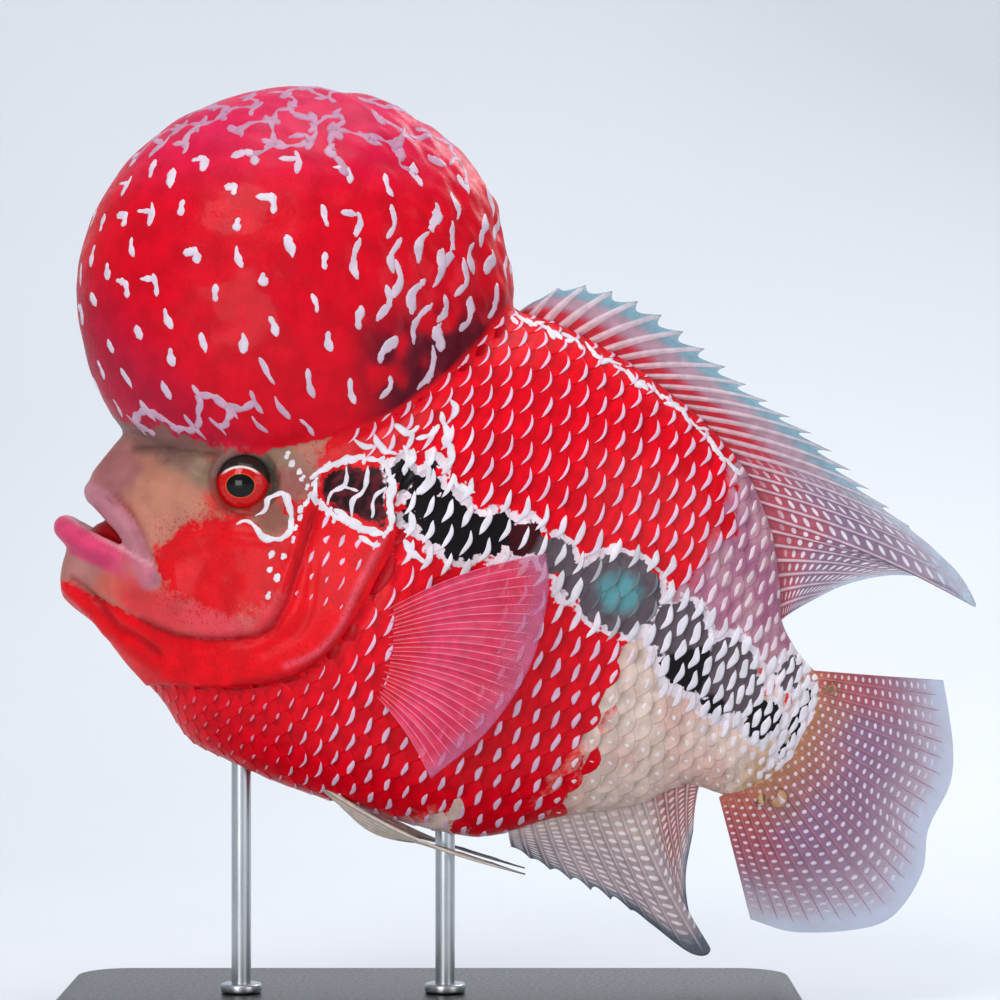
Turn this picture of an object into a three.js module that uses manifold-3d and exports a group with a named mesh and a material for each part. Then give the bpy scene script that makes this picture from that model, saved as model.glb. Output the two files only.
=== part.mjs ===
// A life-size flowerhorn cichlid, held nose up on two rods over a flat display base.
// Units are millimetres, +Z is up, and the fish faces -X with its left side towards -Y.
// The origin is at the centre of the base's underside.
//
// The fish is drawn in its own body frame: s runs back from the snout along the body, h runs
// up its back, and y runs across it. The frame is pitched nose up and lifted over the base.
import * as THREE from "three";
import { mergeVertices } from "three/addons/utils/BufferGeometryUtils.js";
import Module from "manifold-3d";

const wasm = await Module();
wasm.setup();

// Driving dimensions
const BODY_LENGTH = 200; // snout to the root of the tail fin
const PITCH = THREE.MathUtils.degToRad(25); // nose up
const SNOUT_X = -90;
const SNOUT_Z = 140.5;
const GAP = 0.3; // between pieces that touch
const TAIL_SWING = 11; // the tail turns this far off the middle plane
const SWING_START = 95;
const EYE_RADIUS = 7.4;
const EYE_PLACE = { s: 35.3, h: 21.4 };
const EYE_SINK = 2.6; // how deep the eye's centre lies under the cheek
const HUMP_HALF_LENGTH = 57.5;
const HUMP_HALF_HEIGHT = 52;
const HUMP_HALF_WIDTH = 41;
const HUMP_CENTRE = { s: 24.6, h: 74.4 };
const BASE_LENGTH = 196;
const BASE_WIDTH = 96;
const BASE_THICKNESS = 10;
const BASE_CORNER = 14;
const ROD_RADIUS = 2.6;
const ROD_FRONT_X = -50;
const ROD_REAR_X = 4;

// A smooth curve through (place, value) pairs, which never overshoots them.
function profile(pairs) {
  const n = pairs.length;
  const slope = [];
  for (let i = 0; i < n - 1; i++) {
    slope.push((pairs[i + 1][1] - pairs[i][1]) / (pairs[i + 1][0] - pairs[i][0]));
  }
  const tangent = pairs.map((_, i) => {
    if (i === 0) return slope[0];
    if (i === n - 1) return slope[n - 2];
    if (slope[i - 1] * slope[i] <= 0) return 0;
    return (2 * slope[i - 1] * slope[i]) / (slope[i - 1] + slope[i]);
  });
  return (x) => {
    const at = Math.min(Math.max(x, pairs[0][0]), pairs[n - 1][0]);
    let i = 0;
    while (i < n - 2 && at > pairs[i + 1][0]) i++;
    const step = pairs[i + 1][0] - pairs[i][0];
    const t = (at - pairs[i][0]) / step;
    const a = pairs[i][1] * (1 + 2 * t) * (1 - t) ** 2;
    const b = pairs[i + 1][1] * t * t * (3 - 2 * t);
    const c = step * tangent[i] * t * (1 - t) ** 2;
    const d = step * tangent[i + 1] * t * t * (t - 1);
    return a + b + c + d;
  };
}

// The body's back, belly and half width along it
const back = profile([
  [-2.2, 8], [-1.4, 11], [0.6, 19], [12, 38], [37, 62], [62, 82], [80, 92.6],
  [94, 94.6], [112, 93.4], [130, 90], [150, 83], [165.5, 71], [175, 58], [181, 47.5],
  [195, 40], [BODY_LENGTH + 4, 39],
]);
const belly = profile([
  [-2.2, 5], [-1.4, 3.4], [-0.4, 0], [0.2, -10], [0.8, -18], [1.6, -22], [4.5, -26.5], [16, -29.6], [28, -35.4], [38, -39],
  [54, -47], [71, -47], [102, -43.6], [129, -38.4], [148, -24], [166, -12.2], [177, -1.2],
  [186, -0.6], [BODY_LENGTH + 4, 2],
]);
const halfWidth = profile([
  [-2.2, 4], [-1.4, 6.6], [-0.4, 8.2], [1, 9.8], [5, 13.4], [12, 18], [22, 22.6], [35, 26.4], [50, 29.6],
  [78, 32], [108, 30], [138, 23.5], [162, 15.4], [180, 10], [192, 7.4], [BODY_LENGTH + 4, 5.6],
]);
const WIDEST = 0.5; // share of the depth at which the body is widest
const ROUNDNESS = 2.15; // 2 is an ellipse
const RING = 28;

const swing = (s) => {
  const past = Math.max(0, s - SWING_START) / (BODY_LENGTH - SWING_START);
  return TAIL_SWING * past * past;
};
const level = (s) => belly(s) + WIDEST * (back(s) - belly(s));

// Half the body's width at a place on its side, and its underside at a place across it.
function sideAt(s, h) {
  const reach = h > level(s) ? back(s) - level(s) : level(s) - belly(s);
  const share = Math.min(1, Math.abs(h - level(s)) / reach);
  return halfWidth(s) * (1 - share ** ROUNDNESS) ** (1 / ROUNDNESS);
}
function underAt(s, y) {
  const share = Math.min(1, Math.abs(y) / halfWidth(s));
  return level(s) - (level(s) - belly(s)) * (1 - share ** ROUNDNESS) ** (1 / ROUNDNESS);
}

const signedPower = (x, p) => Math.sign(x) * Math.abs(x) ** p;

function geometryOf(points, triangles) {
  const g = new THREE.BufferGeometry();
  g.setAttribute("position", new THREE.Float32BufferAttribute(points.flat(), 3));
  g.setIndex(triangles.flat());
  return g;
}

// Rings of points closed into one skin, with a point at each end.
function loft(rings, first, last) {
  const n = rings[0].length;
  const points = [...rings.flat(), first, last];
  const triangles = [];
  for (let r = 0; r < rings.length - 1; r++) {
    for (let k = 0; k < n; k++) {
      const a = r * n + k;
      const b = r * n + ((k + 1) % n);
      triangles.push([a, b, a + n], [b, b + n, a + n]);
    }
  }
  const start = points.length - 2;
  const end = points.length - 1;
  const lastRing = (rings.length - 1) * n;
  for (let k = 0; k < n; k++) {
    triangles.push([start, (k + 1) % n, k]);
    triangles.push([end, lastRing + k, lastRing + ((k + 1) % n)]);
  }
  return geometryOf(points, triangles);
}

function solid(geometry) {
  const bare = geometry.clone();
  bare.deleteAttribute("normal");
  bare.deleteAttribute("uv");
  const merged = mergeVertices(bare, 1e-4);
  const made = new wasm.Manifold(
    new wasm.Mesh({
      numProp: 3,
      vertProperties: new Float32Array(merged.attributes.position.array),
      triVerts: new Uint32Array(merged.index.array),
    }),
  );
  if (made.volume() > 0) return made;
  const turned = merged.index.array.slice();
  for (let i = 0; i < turned.length; i += 3) {
    [turned[i + 1], turned[i + 2]] = [turned[i + 2], turned[i + 1]];
  }
  return new wasm.Manifold(
    new wasm.Mesh({
      numProp: 3,
      vertProperties: new Float32Array(merged.attributes.position.array),
      triVerts: new Uint32Array(turned),
    }),
  );
}

// The whole body, without its hump, lips or fins. grow makes it that much larger all round.
const STEEP_FRONT = 2; // ahead of this the face is so steep that it grows forwards
function bodySolid(grow) {
  const places = [-2.2, -1.4, -0.4, 0.2, 0.8, 1.6, 4.5, 8];
  for (let s = 12; s < BODY_LENGTH; s += 5.5) places.push(s);
  places.push(BODY_LENGTH + 4);
  const rings = places.map((s) => {
    const up = back(s) - level(s) + grow;
    const down = level(s) - belly(s) + grow;
    const wide = halfWidth(s) + grow;
    const at = s < STEEP_FRONT ? s - grow : s;
    return Array.from({ length: RING }, (_, k) => {
      const turn = (2 * Math.PI * k) / RING;
      const rise = signedPower(Math.cos(turn), 2 / ROUNDNESS);
      const y = wide * signedPower(Math.sin(turn), 2 / ROUNDNESS);
      return [at, y + swing(s), level(s) + rise * (rise > 0 ? up : down)];
    });
  });
  const front = [places[0] - grow - 0.4, 0, level(places[0])];
  const end = BODY_LENGTH + 4 + grow;
  return solid(loft(rings, front, [end, swing(end), level(end)]));
}

// A flat outline in (s, h) carried across the body from y = from to y = to.
function across(outline, from, to) {
  const shape = new THREE.Shape(outline.map(([s, h]) => new THREE.Vector2(s, h)));
  const g = new THREE.ExtrudeGeometry(shape, { depth: to - from, bevelEnabled: false });
  g.rotateX(Math.PI / 2);
  g.translate(0, to, 0);
  return solid(g);
}

// Points along a smooth curve through the given ones.
function along(points, count) {
  const curve = new THREE.CatmullRomCurve3(points.map((p) => new THREE.Vector3(...p)), false, "centripetal");
  return curve.getPoints(count).map((p) => [p.x, p.y, p.z]);
}
const flat = (points) => points.map(([s, h]) => [s, h, 0]);
const shifted = (points, ds, dh) => points.map(([s, h]) => [s + ds, h + dh]);

// The largest closed surface of a solid, as a geometry.
function geometryFrom(made) {
  const pieces = made.decompose().sort((a, b) => b.volume() - a.volume());
  const mesh = pieces[0].getMesh();
  const g = new THREE.BufferGeometry();
  g.setAttribute("position", new THREE.BufferAttribute(new Float32Array(mesh.vertProperties), 3));
  g.setIndex(new THREE.BufferAttribute(new Uint32Array(mesh.triVerts), 1));
  g.computeVertexNormals();
  return g;
}

// A round-ended tube through the given points, with a radius for each place on it.
function tube(points, radiusAt, steps, sides) {
  const line = new THREE.CatmullRomCurve3(points.map((p) => new THREE.Vector3(...p)));
  const frames = line.computeFrenetFrames(steps, false);
  const rings = [];
  for (let i = 0; i <= steps; i++) {
    const centre = line.getPointAt(i / steps);
    const r = radiusAt(i / steps);
    rings.push(
      Array.from({ length: sides }, (_, k) => {
        const turn = (2 * Math.PI * k) / sides;
        const p = centre.clone();
        p.addScaledVector(frames.normals[i], r * Math.cos(turn));
        p.addScaledVector(frames.binormals[i], r * Math.sin(turn));
        return [p.x, p.y, p.z];
      }),
    );
  }
  const first = line.getPointAt(0).addScaledVector(frames.tangents[0], -radiusAt(0) * 0.6);
  const last = line.getPointAt(1).addScaledVector(frames.tangents[steps], radiusAt(1) * 0.6);
  return solid(loft(rings, first.toArray(), last.toArray()));
}

// Fins: a membrane between a root line and an edge line, with a ridge along each ray.
const FIN_ROWS = 6;
const MEMBRANE = 0.28; // half the membrane's thickness
function fin({ roots, edges, rays, ridge, place, normal, notch = () => 0, rows = FIN_ROWS, bow = 0 }) {
  const columns = 2 * rays - 1;
  const near = [];
  const far = [];
  const rootLine = along(flat(roots), 200);
  const edgeLine = along(flat(edges), 200);
  const pick = (line, t) => {
    const i = Math.min(199, Math.floor(t * 200));
    const f = t * 200 - i;
    return [0, 1].map((k) => line[i][k] + (line[i + 1][k] - line[i][k]) * f);
  };
  for (let c = 0; c < columns; c++) {
    const t = c / (columns - 1);
    const onRay = c % 2 === 0;
    const root = pick(rootLine, t);
    const tip = pick(edgeLine, t);
    for (let r = 0; r <= rows; r++) {
      const v = (r / rows) * (onRay ? 1 : 1 - notch(t));
      const lift = bow * Math.sin(Math.PI * v);
      const s = root[0] + (tip[0] - root[0]) * v - (tip[1] - root[1]) * lift;
      const h = root[1] + (tip[1] - root[1]) * v + (tip[0] - root[0]) * lift;
      const half = onRay ? ridge(t, r / rows) : MEMBRANE + 0.35 * Math.max(0, ridge(t, r / rows) - 1);
      const p = place(s, h, v, t);
      const n = normal(s, h, v, t);
      near.push([0, 1, 2].map((k) => p[k] - n[k] * half));
      far.push([0, 1, 2].map((k) => p[k] + n[k] * half));
    }
  }
  const n = near.length;
  const triangles = [];
  const rowCount = rows + 1;
  for (let c = 0; c < columns - 1; c++) {
    for (let r = 0; r < rows; r++) {
      const a = c * rowCount + r;
      const b = a + rowCount;
      triangles.push([a, b, a + 1], [b, b + 1, a + 1]);
      triangles.push([n + a, n + a + 1, n + b], [n + b, n + a + 1, n + b + 1]);
    }
  }
  const wall = (a, b) => triangles.push([a, b, n + a], [b, n + b, n + a]);
  for (let c = 0; c < columns - 1; c++) {
    wall((c + 1) * rowCount, c * rowCount);
    wall(c * rowCount + rows, (c + 1) * rowCount + rows);
  }
  for (let r = 0; r < rows; r++) {
    wall(r, r + 1);
    wall((columns - 1) * rowCount + r + 1, (columns - 1) * rowCount + r);
  }
  return solid(geometryOf([...near, ...far], triangles));
}

// Where the head, gill covers, torso and tail part
const gillEdge = along(
  flat([
    [86, 120], [79.5, 89.7], [74, 56], [74.6, 35], [79, 25], [78.6, 11], [76.5, -5],
    [69.7, -17.8], [56.5, -27.2], [36, -37], [26, -50],
  ]),
  40,
).map(([s, h]) => [s, h]);
const cheekEdge = along(
  flat([[74.9, 41], [62, 42.5], [55, 36], [54.5, 22], [51.5, 6], [44, -8], [34, -17], [22, -22], [14, -26]]),
  30,
).map(([s, h]) => [s, h]);
const TAIL_CUT = 152;
const tailEnd = [[197, 60], [195.4, 40], [197.6, 30], [197.8, 19], [193.6, 8], [186.6, -1.5], [184, -20]];
const FAR = 400;

const body = bodySolid(0);
const cleared = bodySolid(GAP);
const ahead = across([...gillEdge, [-FAR, -50], [-FAR, 120]], -FAR, FAR);
const behind = across([...shifted(gillEdge, GAP, -GAP), [FAR, -50], [FAR, 120]], -FAR, FAR);
const gillIndex = gillEdge.findIndex(([, h]) => h < 40);
const cover = [...cheekEdge, [26, -50], ...gillEdge.slice(gillIndex).reverse().slice(1)];
const coverNear = across(cover, -FAR, -GAP / 2);
const coverFar = across(cover, GAP / 2, FAR);
const coverRoom = across(
  [
    ...shifted(cheekEdge, -GAP, GAP), [14, -80], [120, -80],
    ...shifted(gillEdge.slice(gillIndex), GAP, GAP).reverse(),
  ],
  -FAR, FAR,
);

// The hump: a ball, fuller below, that leans a little up and back
const HUMP_LEAN = THREE.MathUtils.degToRad(-12);
const FULL_BELOW = 2.5;
function humpSolid(grow) {
  const around = 32;
  const rows = 18;
  const rings = [];
  for (let r = 1; r < rows; r++) {
    const lat = Math.PI * (r / rows) - Math.PI / 2;
    rings.push(
      Array.from({ length: around }, (_, k) => {
        const lon = (2 * Math.PI * k) / around;
        const power = Math.sin(lat) < 0 ? 2 / FULL_BELOW : 1;
        const out = Math.abs(Math.cos(lat)) ** power;
        return [
          (HUMP_HALF_LENGTH + grow) * out * Math.cos(lon),
          (HUMP_HALF_WIDTH + grow) * out * Math.sin(lon),
          (HUMP_HALF_HEIGHT + grow) * signedPower(Math.sin(lat), power),
        ];
      }),
    );
  }
  const g = loft(rings, [0, 0, -HUMP_HALF_HEIGHT - grow], [0, 0, HUMP_HALF_HEIGHT + grow]);
  g.rotateY(HUMP_LEAN - PITCH);
  g.translate(HUMP_CENTRE.s, 0, HUMP_CENTRE.h);
  return solid(g);
}

// Eyes, with a raised rim on the head round each
const eyeY = sideAt(EYE_PLACE.s, EYE_PLACE.h) - EYE_SINK;
const BALL_SIDES = 18;
function ball(radius, side) {
  const g = new THREE.SphereGeometry(radius, BALL_SIDES, BALL_SIDES / 2);
  g.rotateX(Math.PI / 2);
  g.scale(1, 0.86, 1);
  g.translate(EYE_PLACE.s, side * eyeY, EYE_PLACE.h);
  return solid(g);
}
function rim(side) {
  const g = new THREE.TorusGeometry(EYE_RADIUS + 0.5, 1.25, 6, BALL_SIDES);
  g.rotateX(Math.PI / 2);
  g.translate(EYE_PLACE.s, side * (eyeY + 2.2), EYE_PLACE.h);
  return solid(g);
}

// Lips: an arch round each jaw, with the mouth open between them
const LIP_SINK = 0.3;
const lipLine = (places, front) => {
  const half = (side) => places.map(([s, h]) => [s, side * (sideAt(s, h) - LIP_SINK), h]);
  return [...half(-1), front, ...half(1).reverse()];
};
const upperLipLine = lipLine([[24, -11.6], [13, -5.4], [4, 0.2]], [-0.2, 0, 1.8]);
const lowerLipLine = lipLine([[23, -14], [12, -12], [2.4, -10.2]], [-3, 0, -9]);
const lipTube = (line, slim, fat, grow = 0) =>
  tube(line, (t) => grow + slim + (fat - slim) * Math.sin(Math.PI * t) ** 1.4, 24, 9);
const upperLip = lipTube(upperLipLine, 1.5, 2.6);
const lowerLip = lipTube(lowerLipLine, 1.8, 3.7);
const mouthWedge = (shrink) =>
  across(
    [[-14, -0.6 - shrink], [4, -3.2 - shrink], [21 - 5 * shrink, -9.6 + shrink], [8, -8.6 + shrink], [-14, -5.6 + shrink]],
    -FAR, FAR,
  );

// Nostrils: a rimmed pit each side of the snout
const NOSTRIL = { s: 15, h: 19, radius: 1.1 };
function nostril(side, radius, depth) {
  const g = new THREE.CylinderGeometry(radius, radius, depth, 12);
  g.translate(NOSTRIL.s, side * (sideAt(NOSTRIL.s, NOSTRIL.h) + 0.2), NOSTRIL.h);
  return solid(g);
}

const sides = [-1, 1];
let head = body.intersect(ahead).subtract(coverRoom).subtract(mouthWedge(0));
for (const side of sides) {
  head = head.add(rim(side).subtract(humpSolid(GAP))).subtract(ball(EYE_RADIUS + GAP, side));
  head = head.add(nostril(side, NOSTRIL.radius + 0.9, 1.2)).subtract(nostril(side, NOSTRIL.radius, 3));
}

// The back's and belly's fins
const spineRidge = (root, tip) => (t, v) => root + (tip - root) * v;
const SUNK = 1.5; // how far a fin's root is drawn into the body before it is trimmed to it
const finRoots = (line, first, last, offset, count = 12) =>
  Array.from({ length: count }, (_, i) => {
    const s = first + ((last - first) * i) / (count - 1);
    return [s, line(s) + offset];
  });
const upright = () => [0, 1, 0];
const inMiddle = (s, h) => [s, swing(s), h];
const dorsalFin = fin({
  roots: finRoots(back, 81, 179.6, -SUNK),
  edges: [
    [84.5, 97.5], [90, 104.6], [99, 108.2], [113, 108.9], [129, 105.6], [149, 100.4], [169, 96.3],
    [189, 89.6], [210, 83], [220, 79.4], [227, 74.6], [216, 77], [203, 73], [192, 64.6], [184.5, 55.4],
  ],
  rays: 29,
  ridge: spineRidge(1.25, 0.34),
  place: inMiddle,
  normal: upright,
  notch: (t) => (t < 0.62 ? 0.12 : 0),
});
const analFin = fin({
  roots: finRoots(belly, 137, 178.5, SUNK),
  edges: [
    [140, -36.4], [150, -37.6], [162, -38], [178.5, -39], [196, -42.6], [200.6, -39.6],
    [192.4, -34.4], [186, -24.6], [182.6, -12.4],
  ],
  rays: 17,
  ridge: spineRidge(1.2, 0.34),
  place: inMiddle,
  normal: upright,
  notch: (t) => (t < 0.4 ? 0.1 : 0),
});
const TAIL_FIN_CUP = 7; // how far the tail fin's outer edge curls to one side
const caudalFin = fin({
  roots: shifted(tailEnd.slice(1, 6), -SUNK, 0),
  edges: [
    [228.5, 52.4], [234, 45], [239.6, 36], [242.6, 27], [242.6, 14], [246.4, 2], [243.6, -12],
    [234.5, -20.2], [220.5, -26.8], [207.7, -28.3],
  ],
  rays: 19,
  ridge: (t, v) => 0.4 + 2.6 * Math.sin(Math.PI * (0.12 + 0.76 * t)) * Math.max(0, 1 - 2.6 * v) ** 2 + 0.5 * (1 - v),
  place: (s, h, v) => [s, swing(s) + TAIL_FIN_CUP * v * v, h],
  normal: upright,
  rows: 8,
});

// The paired fins
const PECTORAL_FLARE = 17;
const pectoralRoot = [[82.7, 6], [85.6, 0], [88.4, -6.6], [90.4, -13]];
const pectoralEdge = [[114.7, 38.6], [119.6, 29], [123, 11], [120.4, -8], [112.4, -25.6]];
function pectoralFin(side) {
  return fin({
    roots: pectoralRoot,
    edges: pectoralEdge,
    rays: 14,
    ridge: spineRidge(0.85, 0.32),
    place: (s, h, v, t) => {
      const rootS = pectoralRoot[0][0] + (pectoralRoot[3][0] - pectoralRoot[0][0]) * t;
      const rootH = pectoralRoot[0][1] + (pectoralRoot[3][1] - pectoralRoot[0][1]) * t;
      const out = sideAt(rootS, rootH) - SUNK + PECTORAL_FLARE * v * (1 - 0.25 * v);
      return [s, side * out, h];
    },
    normal: () => [-0.42, 0.91 * side, 0],
    bow: 0.05,
  });
}
const PELVIC_DIP = 3.2; // how far the blade bows down, clear of the belly
function pelvicFin(side) {
  const strand = (t, v) => {
    const s = 84 + 8 * t + (24 + 38 * (1 - t) ** 1.5) * v;
    const rootY = 11 - 5.5 * t;
    const y = rootY + (7.5 - 2.5 * t - rootY) * v;
    const rootH = underAt(84 + 8 * t, rootY) + SUNK;
    const tipH = -40.5 - 5 * t;
    return [s, side * y, rootH + (tipH - rootH) * v - PELVIC_DIP * Math.sin(Math.PI * v)];
  };
  return fin({
    roots: [[0, 0], [0, 1]],
    edges: [[1, 0], [1, 1]],
    rays: 6,
    ridge: (t, v) => (0.9 - 0.5 * v) * (t < 0.05 ? 1.25 : 0.8),
    place: (v, t) => strand(t, v),
    normal: () => [0, 0, 1],
    rows: 8,
  });
}

// The stand
function baseGeometry() {
  const w = BASE_LENGTH / 2;
  const d = BASE_WIDTH / 2;
  const r = BASE_CORNER;
  const bevel = 1.2;
  const shape = new THREE.Shape();
  shape.moveTo(-w + r, -d);
  shape.lineTo(w - r, -d);
  shape.absarc(w - r, -d + r, r, -Math.PI / 2, 0, false);
  shape.lineTo(w, d - r);
  shape.absarc(w - r, d - r, r, 0, Math.PI / 2, false);
  shape.lineTo(-w + r, d);
  shape.absarc(-w + r, d - r, r, Math.PI / 2, Math.PI, false);
  shape.lineTo(-w, -d + r);
  shape.absarc(-w + r, -d + r, r, Math.PI, 1.5 * Math.PI, false);
  const g = new THREE.ExtrudeGeometry(shape, {
    depth: BASE_THICKNESS - bevel,
    bevelEnabled: true,
    bevelThickness: bevel,
    bevelSize: bevel,
    bevelOffset: -bevel,
    bevelSegments: 2,
    curveSegments: 6,
  });
  return g;
}
function flatBase() {
  const made = solid(baseGeometry());
  const keep = new THREE.BoxGeometry(FAR, FAR, BASE_THICKNESS);
  keep.translate(0, 0, BASE_THICKNESS / 2);
  return made.intersect(solid(keep));
}

const root = new THREE.Group();
const fish = new THREE.Group();
fish.rotation.y = PITCH;
fish.position.set(SNOUT_X, 0, SNOUT_Z);
root.add(fish);
fish.updateMatrixWorld(true);
const clearedInPlace = cleared.transform(fish.matrixWorld.elements);
function rod(x) {
  const g = new THREE.CylinderGeometry(ROD_RADIUS, ROD_RADIUS, SNOUT_Z, 16);
  g.rotateX(Math.PI / 2);
  g.translate(x, 0, BASE_THICKNESS + GAP + SNOUT_Z / 2);
  const pieces = solid(g).subtract(clearedInPlace).decompose();
  return pieces.sort((a, b) => a.boundingBox().min[2] - b.boundingBox().min[2])[0];
}

const finish = (color, roughness, metalness = 0) =>
  new THREE.MeshStandardMaterial({ color, roughness, metalness });
const redSkin = finish("#d3121f", 0.35);
const faceSkin = finish("#c4574a", 0.4);
const lipSkin = finish("#d86a8c", 0.4);
const tailSkin = finish("#c9b7ad", 0.35);
const finSkin = finish("#a9899f", 0.4);
const pectoralSkin = finish("#d8436a", 0.4);
const pelvicSkin = finish("#cfc4b8", 0.4);
const eyeFinish = finish("#b00d12", 0.08);
const baseFinish = finish("#1d1d1f", 0.35);
const rodFinish = finish("#b9bcc0", 0.3, 1);

function add(parent, name, made, material) {
  const mesh = new THREE.Mesh(geometryFrom(made), material);
  mesh.name = name;
  parent.add(mesh);
}

const jaws = cleared.subtract(mouthWedge(GAP));
add(fish, "head", head, faceSkin);
add(fish, "hump", humpSolid(0).subtract(cleared), redSkin);
add(fish, "upper_lip", upperLip.subtract(jaws).subtract(lipTube(lowerLipLine, 1.8, 3.7, GAP)), lipSkin);
add(fish, "lower_lip", lowerLip.subtract(jaws), lipSkin);
add(fish, "gill_cover_left", body.intersect(coverNear).intersect(ahead), redSkin);
add(fish, "gill_cover_right", body.intersect(coverFar).intersect(ahead), redSkin);
add(fish, "eye_left", ball(EYE_RADIUS, -1), eyeFinish);
add(fish, "eye_right", ball(EYE_RADIUS, 1), eyeFinish);
const torsoRoom = across([[-FAR, -FAR], [TAIL_CUT - GAP / 2, -FAR], [TAIL_CUT - GAP / 2, FAR], [-FAR, FAR]], -FAR, FAR);
const tailRoom = across([[TAIL_CUT + GAP / 2, -FAR], ...tailEnd.slice().reverse(), [TAIL_CUT + GAP / 2, FAR]], -FAR, FAR);
add(fish, "torso", body.intersect(behind).intersect(torsoRoom), redSkin);
add(fish, "tail", body.intersect(tailRoom), tailSkin);
const tailGone = cleared.intersect(across([...shifted(tailEnd, GAP, 0), [-FAR, -20], [-FAR, 60]], -FAR, FAR));
add(fish, "dorsal_fin", dorsalFin.subtract(cleared).subtract(humpSolid(GAP)), finSkin);
add(fish, "anal_fin", analFin.subtract(cleared), finSkin);
add(fish, "caudal_fin", caudalFin.subtract(tailGone), finSkin);
add(fish, "pectoral_fin_left", pectoralFin(-1).subtract(cleared), pectoralSkin);
add(fish, "pectoral_fin_right", pectoralFin(1).subtract(cleared), pectoralSkin);
add(fish, "pelvic_fin_left", pelvicFin(-1).subtract(cleared), pelvicSkin);
add(fish, "pelvic_fin_right", pelvicFin(1).subtract(cleared), pelvicSkin);
add(root, "stand_base", flatBase(), baseFinish);
add(root, "stand_rod_front", rod(ROD_FRONT_X), rodFinish);
add(root, "stand_rod_rear", rod(ROD_REAR_X), rodFinish);

export default root;
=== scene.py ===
# A life-size flowerhorn cichlid on its display stand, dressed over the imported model.
# The fish is drawn in its body frame: s runs back from the snout, h up its back and y across
# it, all in millimetres. to_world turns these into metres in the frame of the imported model.
import math
import bpy
import numpy as np
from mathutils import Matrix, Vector
from mathutils.bvhtree import BVHTree


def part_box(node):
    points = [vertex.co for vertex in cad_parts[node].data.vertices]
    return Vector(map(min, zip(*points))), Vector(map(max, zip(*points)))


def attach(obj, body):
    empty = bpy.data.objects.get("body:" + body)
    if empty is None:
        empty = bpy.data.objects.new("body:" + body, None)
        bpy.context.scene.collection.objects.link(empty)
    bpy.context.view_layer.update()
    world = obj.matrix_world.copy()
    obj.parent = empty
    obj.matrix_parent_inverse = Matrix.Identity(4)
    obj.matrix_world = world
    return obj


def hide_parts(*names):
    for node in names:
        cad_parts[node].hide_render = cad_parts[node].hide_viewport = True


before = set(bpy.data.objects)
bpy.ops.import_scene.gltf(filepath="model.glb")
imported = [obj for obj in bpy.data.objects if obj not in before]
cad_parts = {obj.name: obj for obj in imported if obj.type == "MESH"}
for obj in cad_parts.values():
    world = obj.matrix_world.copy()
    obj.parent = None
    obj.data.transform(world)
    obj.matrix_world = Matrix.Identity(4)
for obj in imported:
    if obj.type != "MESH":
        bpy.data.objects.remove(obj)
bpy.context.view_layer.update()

MM = 0.001

# The fish's stance and main sizes. WIDEST is the share of the body's height at which it is
# widest, and ROUNDNESS the power of the curve round its cross-section.
PITCH = math.radians(25)
SNOUT_X = -90.0
SNOUT_Z = 140.5
BODY_LENGTH = 200.0
TAIL_SWING = 11.0
SWING_START = 95.0
WIDEST = 0.5
ROUNDNESS = 2.15
EYE_RADIUS = 7.8
EYE_S, EYE_H = 36.9, 22.2
EYE_SINK = 2.6
HUMP_S, HUMP_H = 24.6, 74.4
HUMP_HALF = (57.5, 41.0, 52.0)
HUMP_LEAN = math.radians(-12)
SIDES = (-1, 1)
SIDE_WORDS = ("left", "right")
dice = np.random.default_rng(11)


def tint(code):
    """A colour given as six hex digits, as linear red, green and blue."""
    parts = [int(code[i:i + 2], 16) / 255 for i in (0, 2, 4)]
    return np.array([p / 12.92 if p < 0.04045 else ((p + 0.055) / 1.055) ** 2.4 for p in parts])


def profile(pairs):
    """A smooth curve through (place, value) pairs, which never overshoots them."""
    x, y = np.array(pairs, float).T
    slope = np.diff(y) / np.diff(x)
    tangent = np.concatenate(([slope[0]], np.zeros(len(x) - 2), [slope[-1]]))
    before, after = slope[:-1], slope[1:]
    same = before * after > 0
    tangent[1:-1][same] = 2 * before[same] * after[same] / (before[same] + after[same])

    def at(places):
        p = np.clip(places, x[0], x[-1])
        i = np.clip(np.searchsorted(x, p) - 1, 0, len(x) - 2)
        step = x[i + 1] - x[i]
        t = (p - x[i]) / step
        ends = y[i] * (1 + 2 * t) * (1 - t) ** 2 + y[i + 1] * t * t * (3 - 2 * t)
        return ends + step * (tangent[i] * t * (1 - t) ** 2 + tangent[i + 1] * t * t * (t - 1))

    return at


# The body's outline and half width at places back from the snout
back = profile([
    (-2.2, 8), (-1.4, 11), (0.6, 19), (12, 38), (37, 62), (62, 82), (80, 92.6), (94, 94.6),
    (112, 93.4), (130, 90), (150, 83), (165.5, 71), (175, 58), (181, 47.5), (195, 40), (204, 39),
])
belly = profile([
    (-2.2, 5), (-1.4, 3.4), (-0.4, 0), (0.2, -10), (0.8, -18), (1.6, -22), (4.5, -26.5),
    (16, -29.6), (28, -35.4), (38, -39), (54, -47), (71, -47), (102, -43.6), (129, -38.4),
    (148, -24), (166, -12.2), (177, -1.2), (186, -0.6), (204, 2),
])
half_width = profile([
    (-2.2, 4), (-1.4, 6.6), (-0.4, 8.2), (1, 9.8), (5, 13.4), (12, 18), (22, 22.6), (35, 26.4),
    (50, 29.6), (78, 32), (108, 30), (138, 23.5), (162, 15.4), (180, 10), (192, 7.4), (204, 5.6),
])
# Where the flesh ends over the tail fin, at places up the body
tail_end = profile([(-20, 184), (-1.5, 186.6), (8, 193.6), (19, 197.8), (30, 197.6), (40, 195.4), (60, 197)])


def swing(s):
    """How far the body has swung away from the camera at a place along it."""
    past = np.maximum(0, s - SWING_START) / (BODY_LENGTH - SWING_START)
    return TAIL_SWING * past * past


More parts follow.
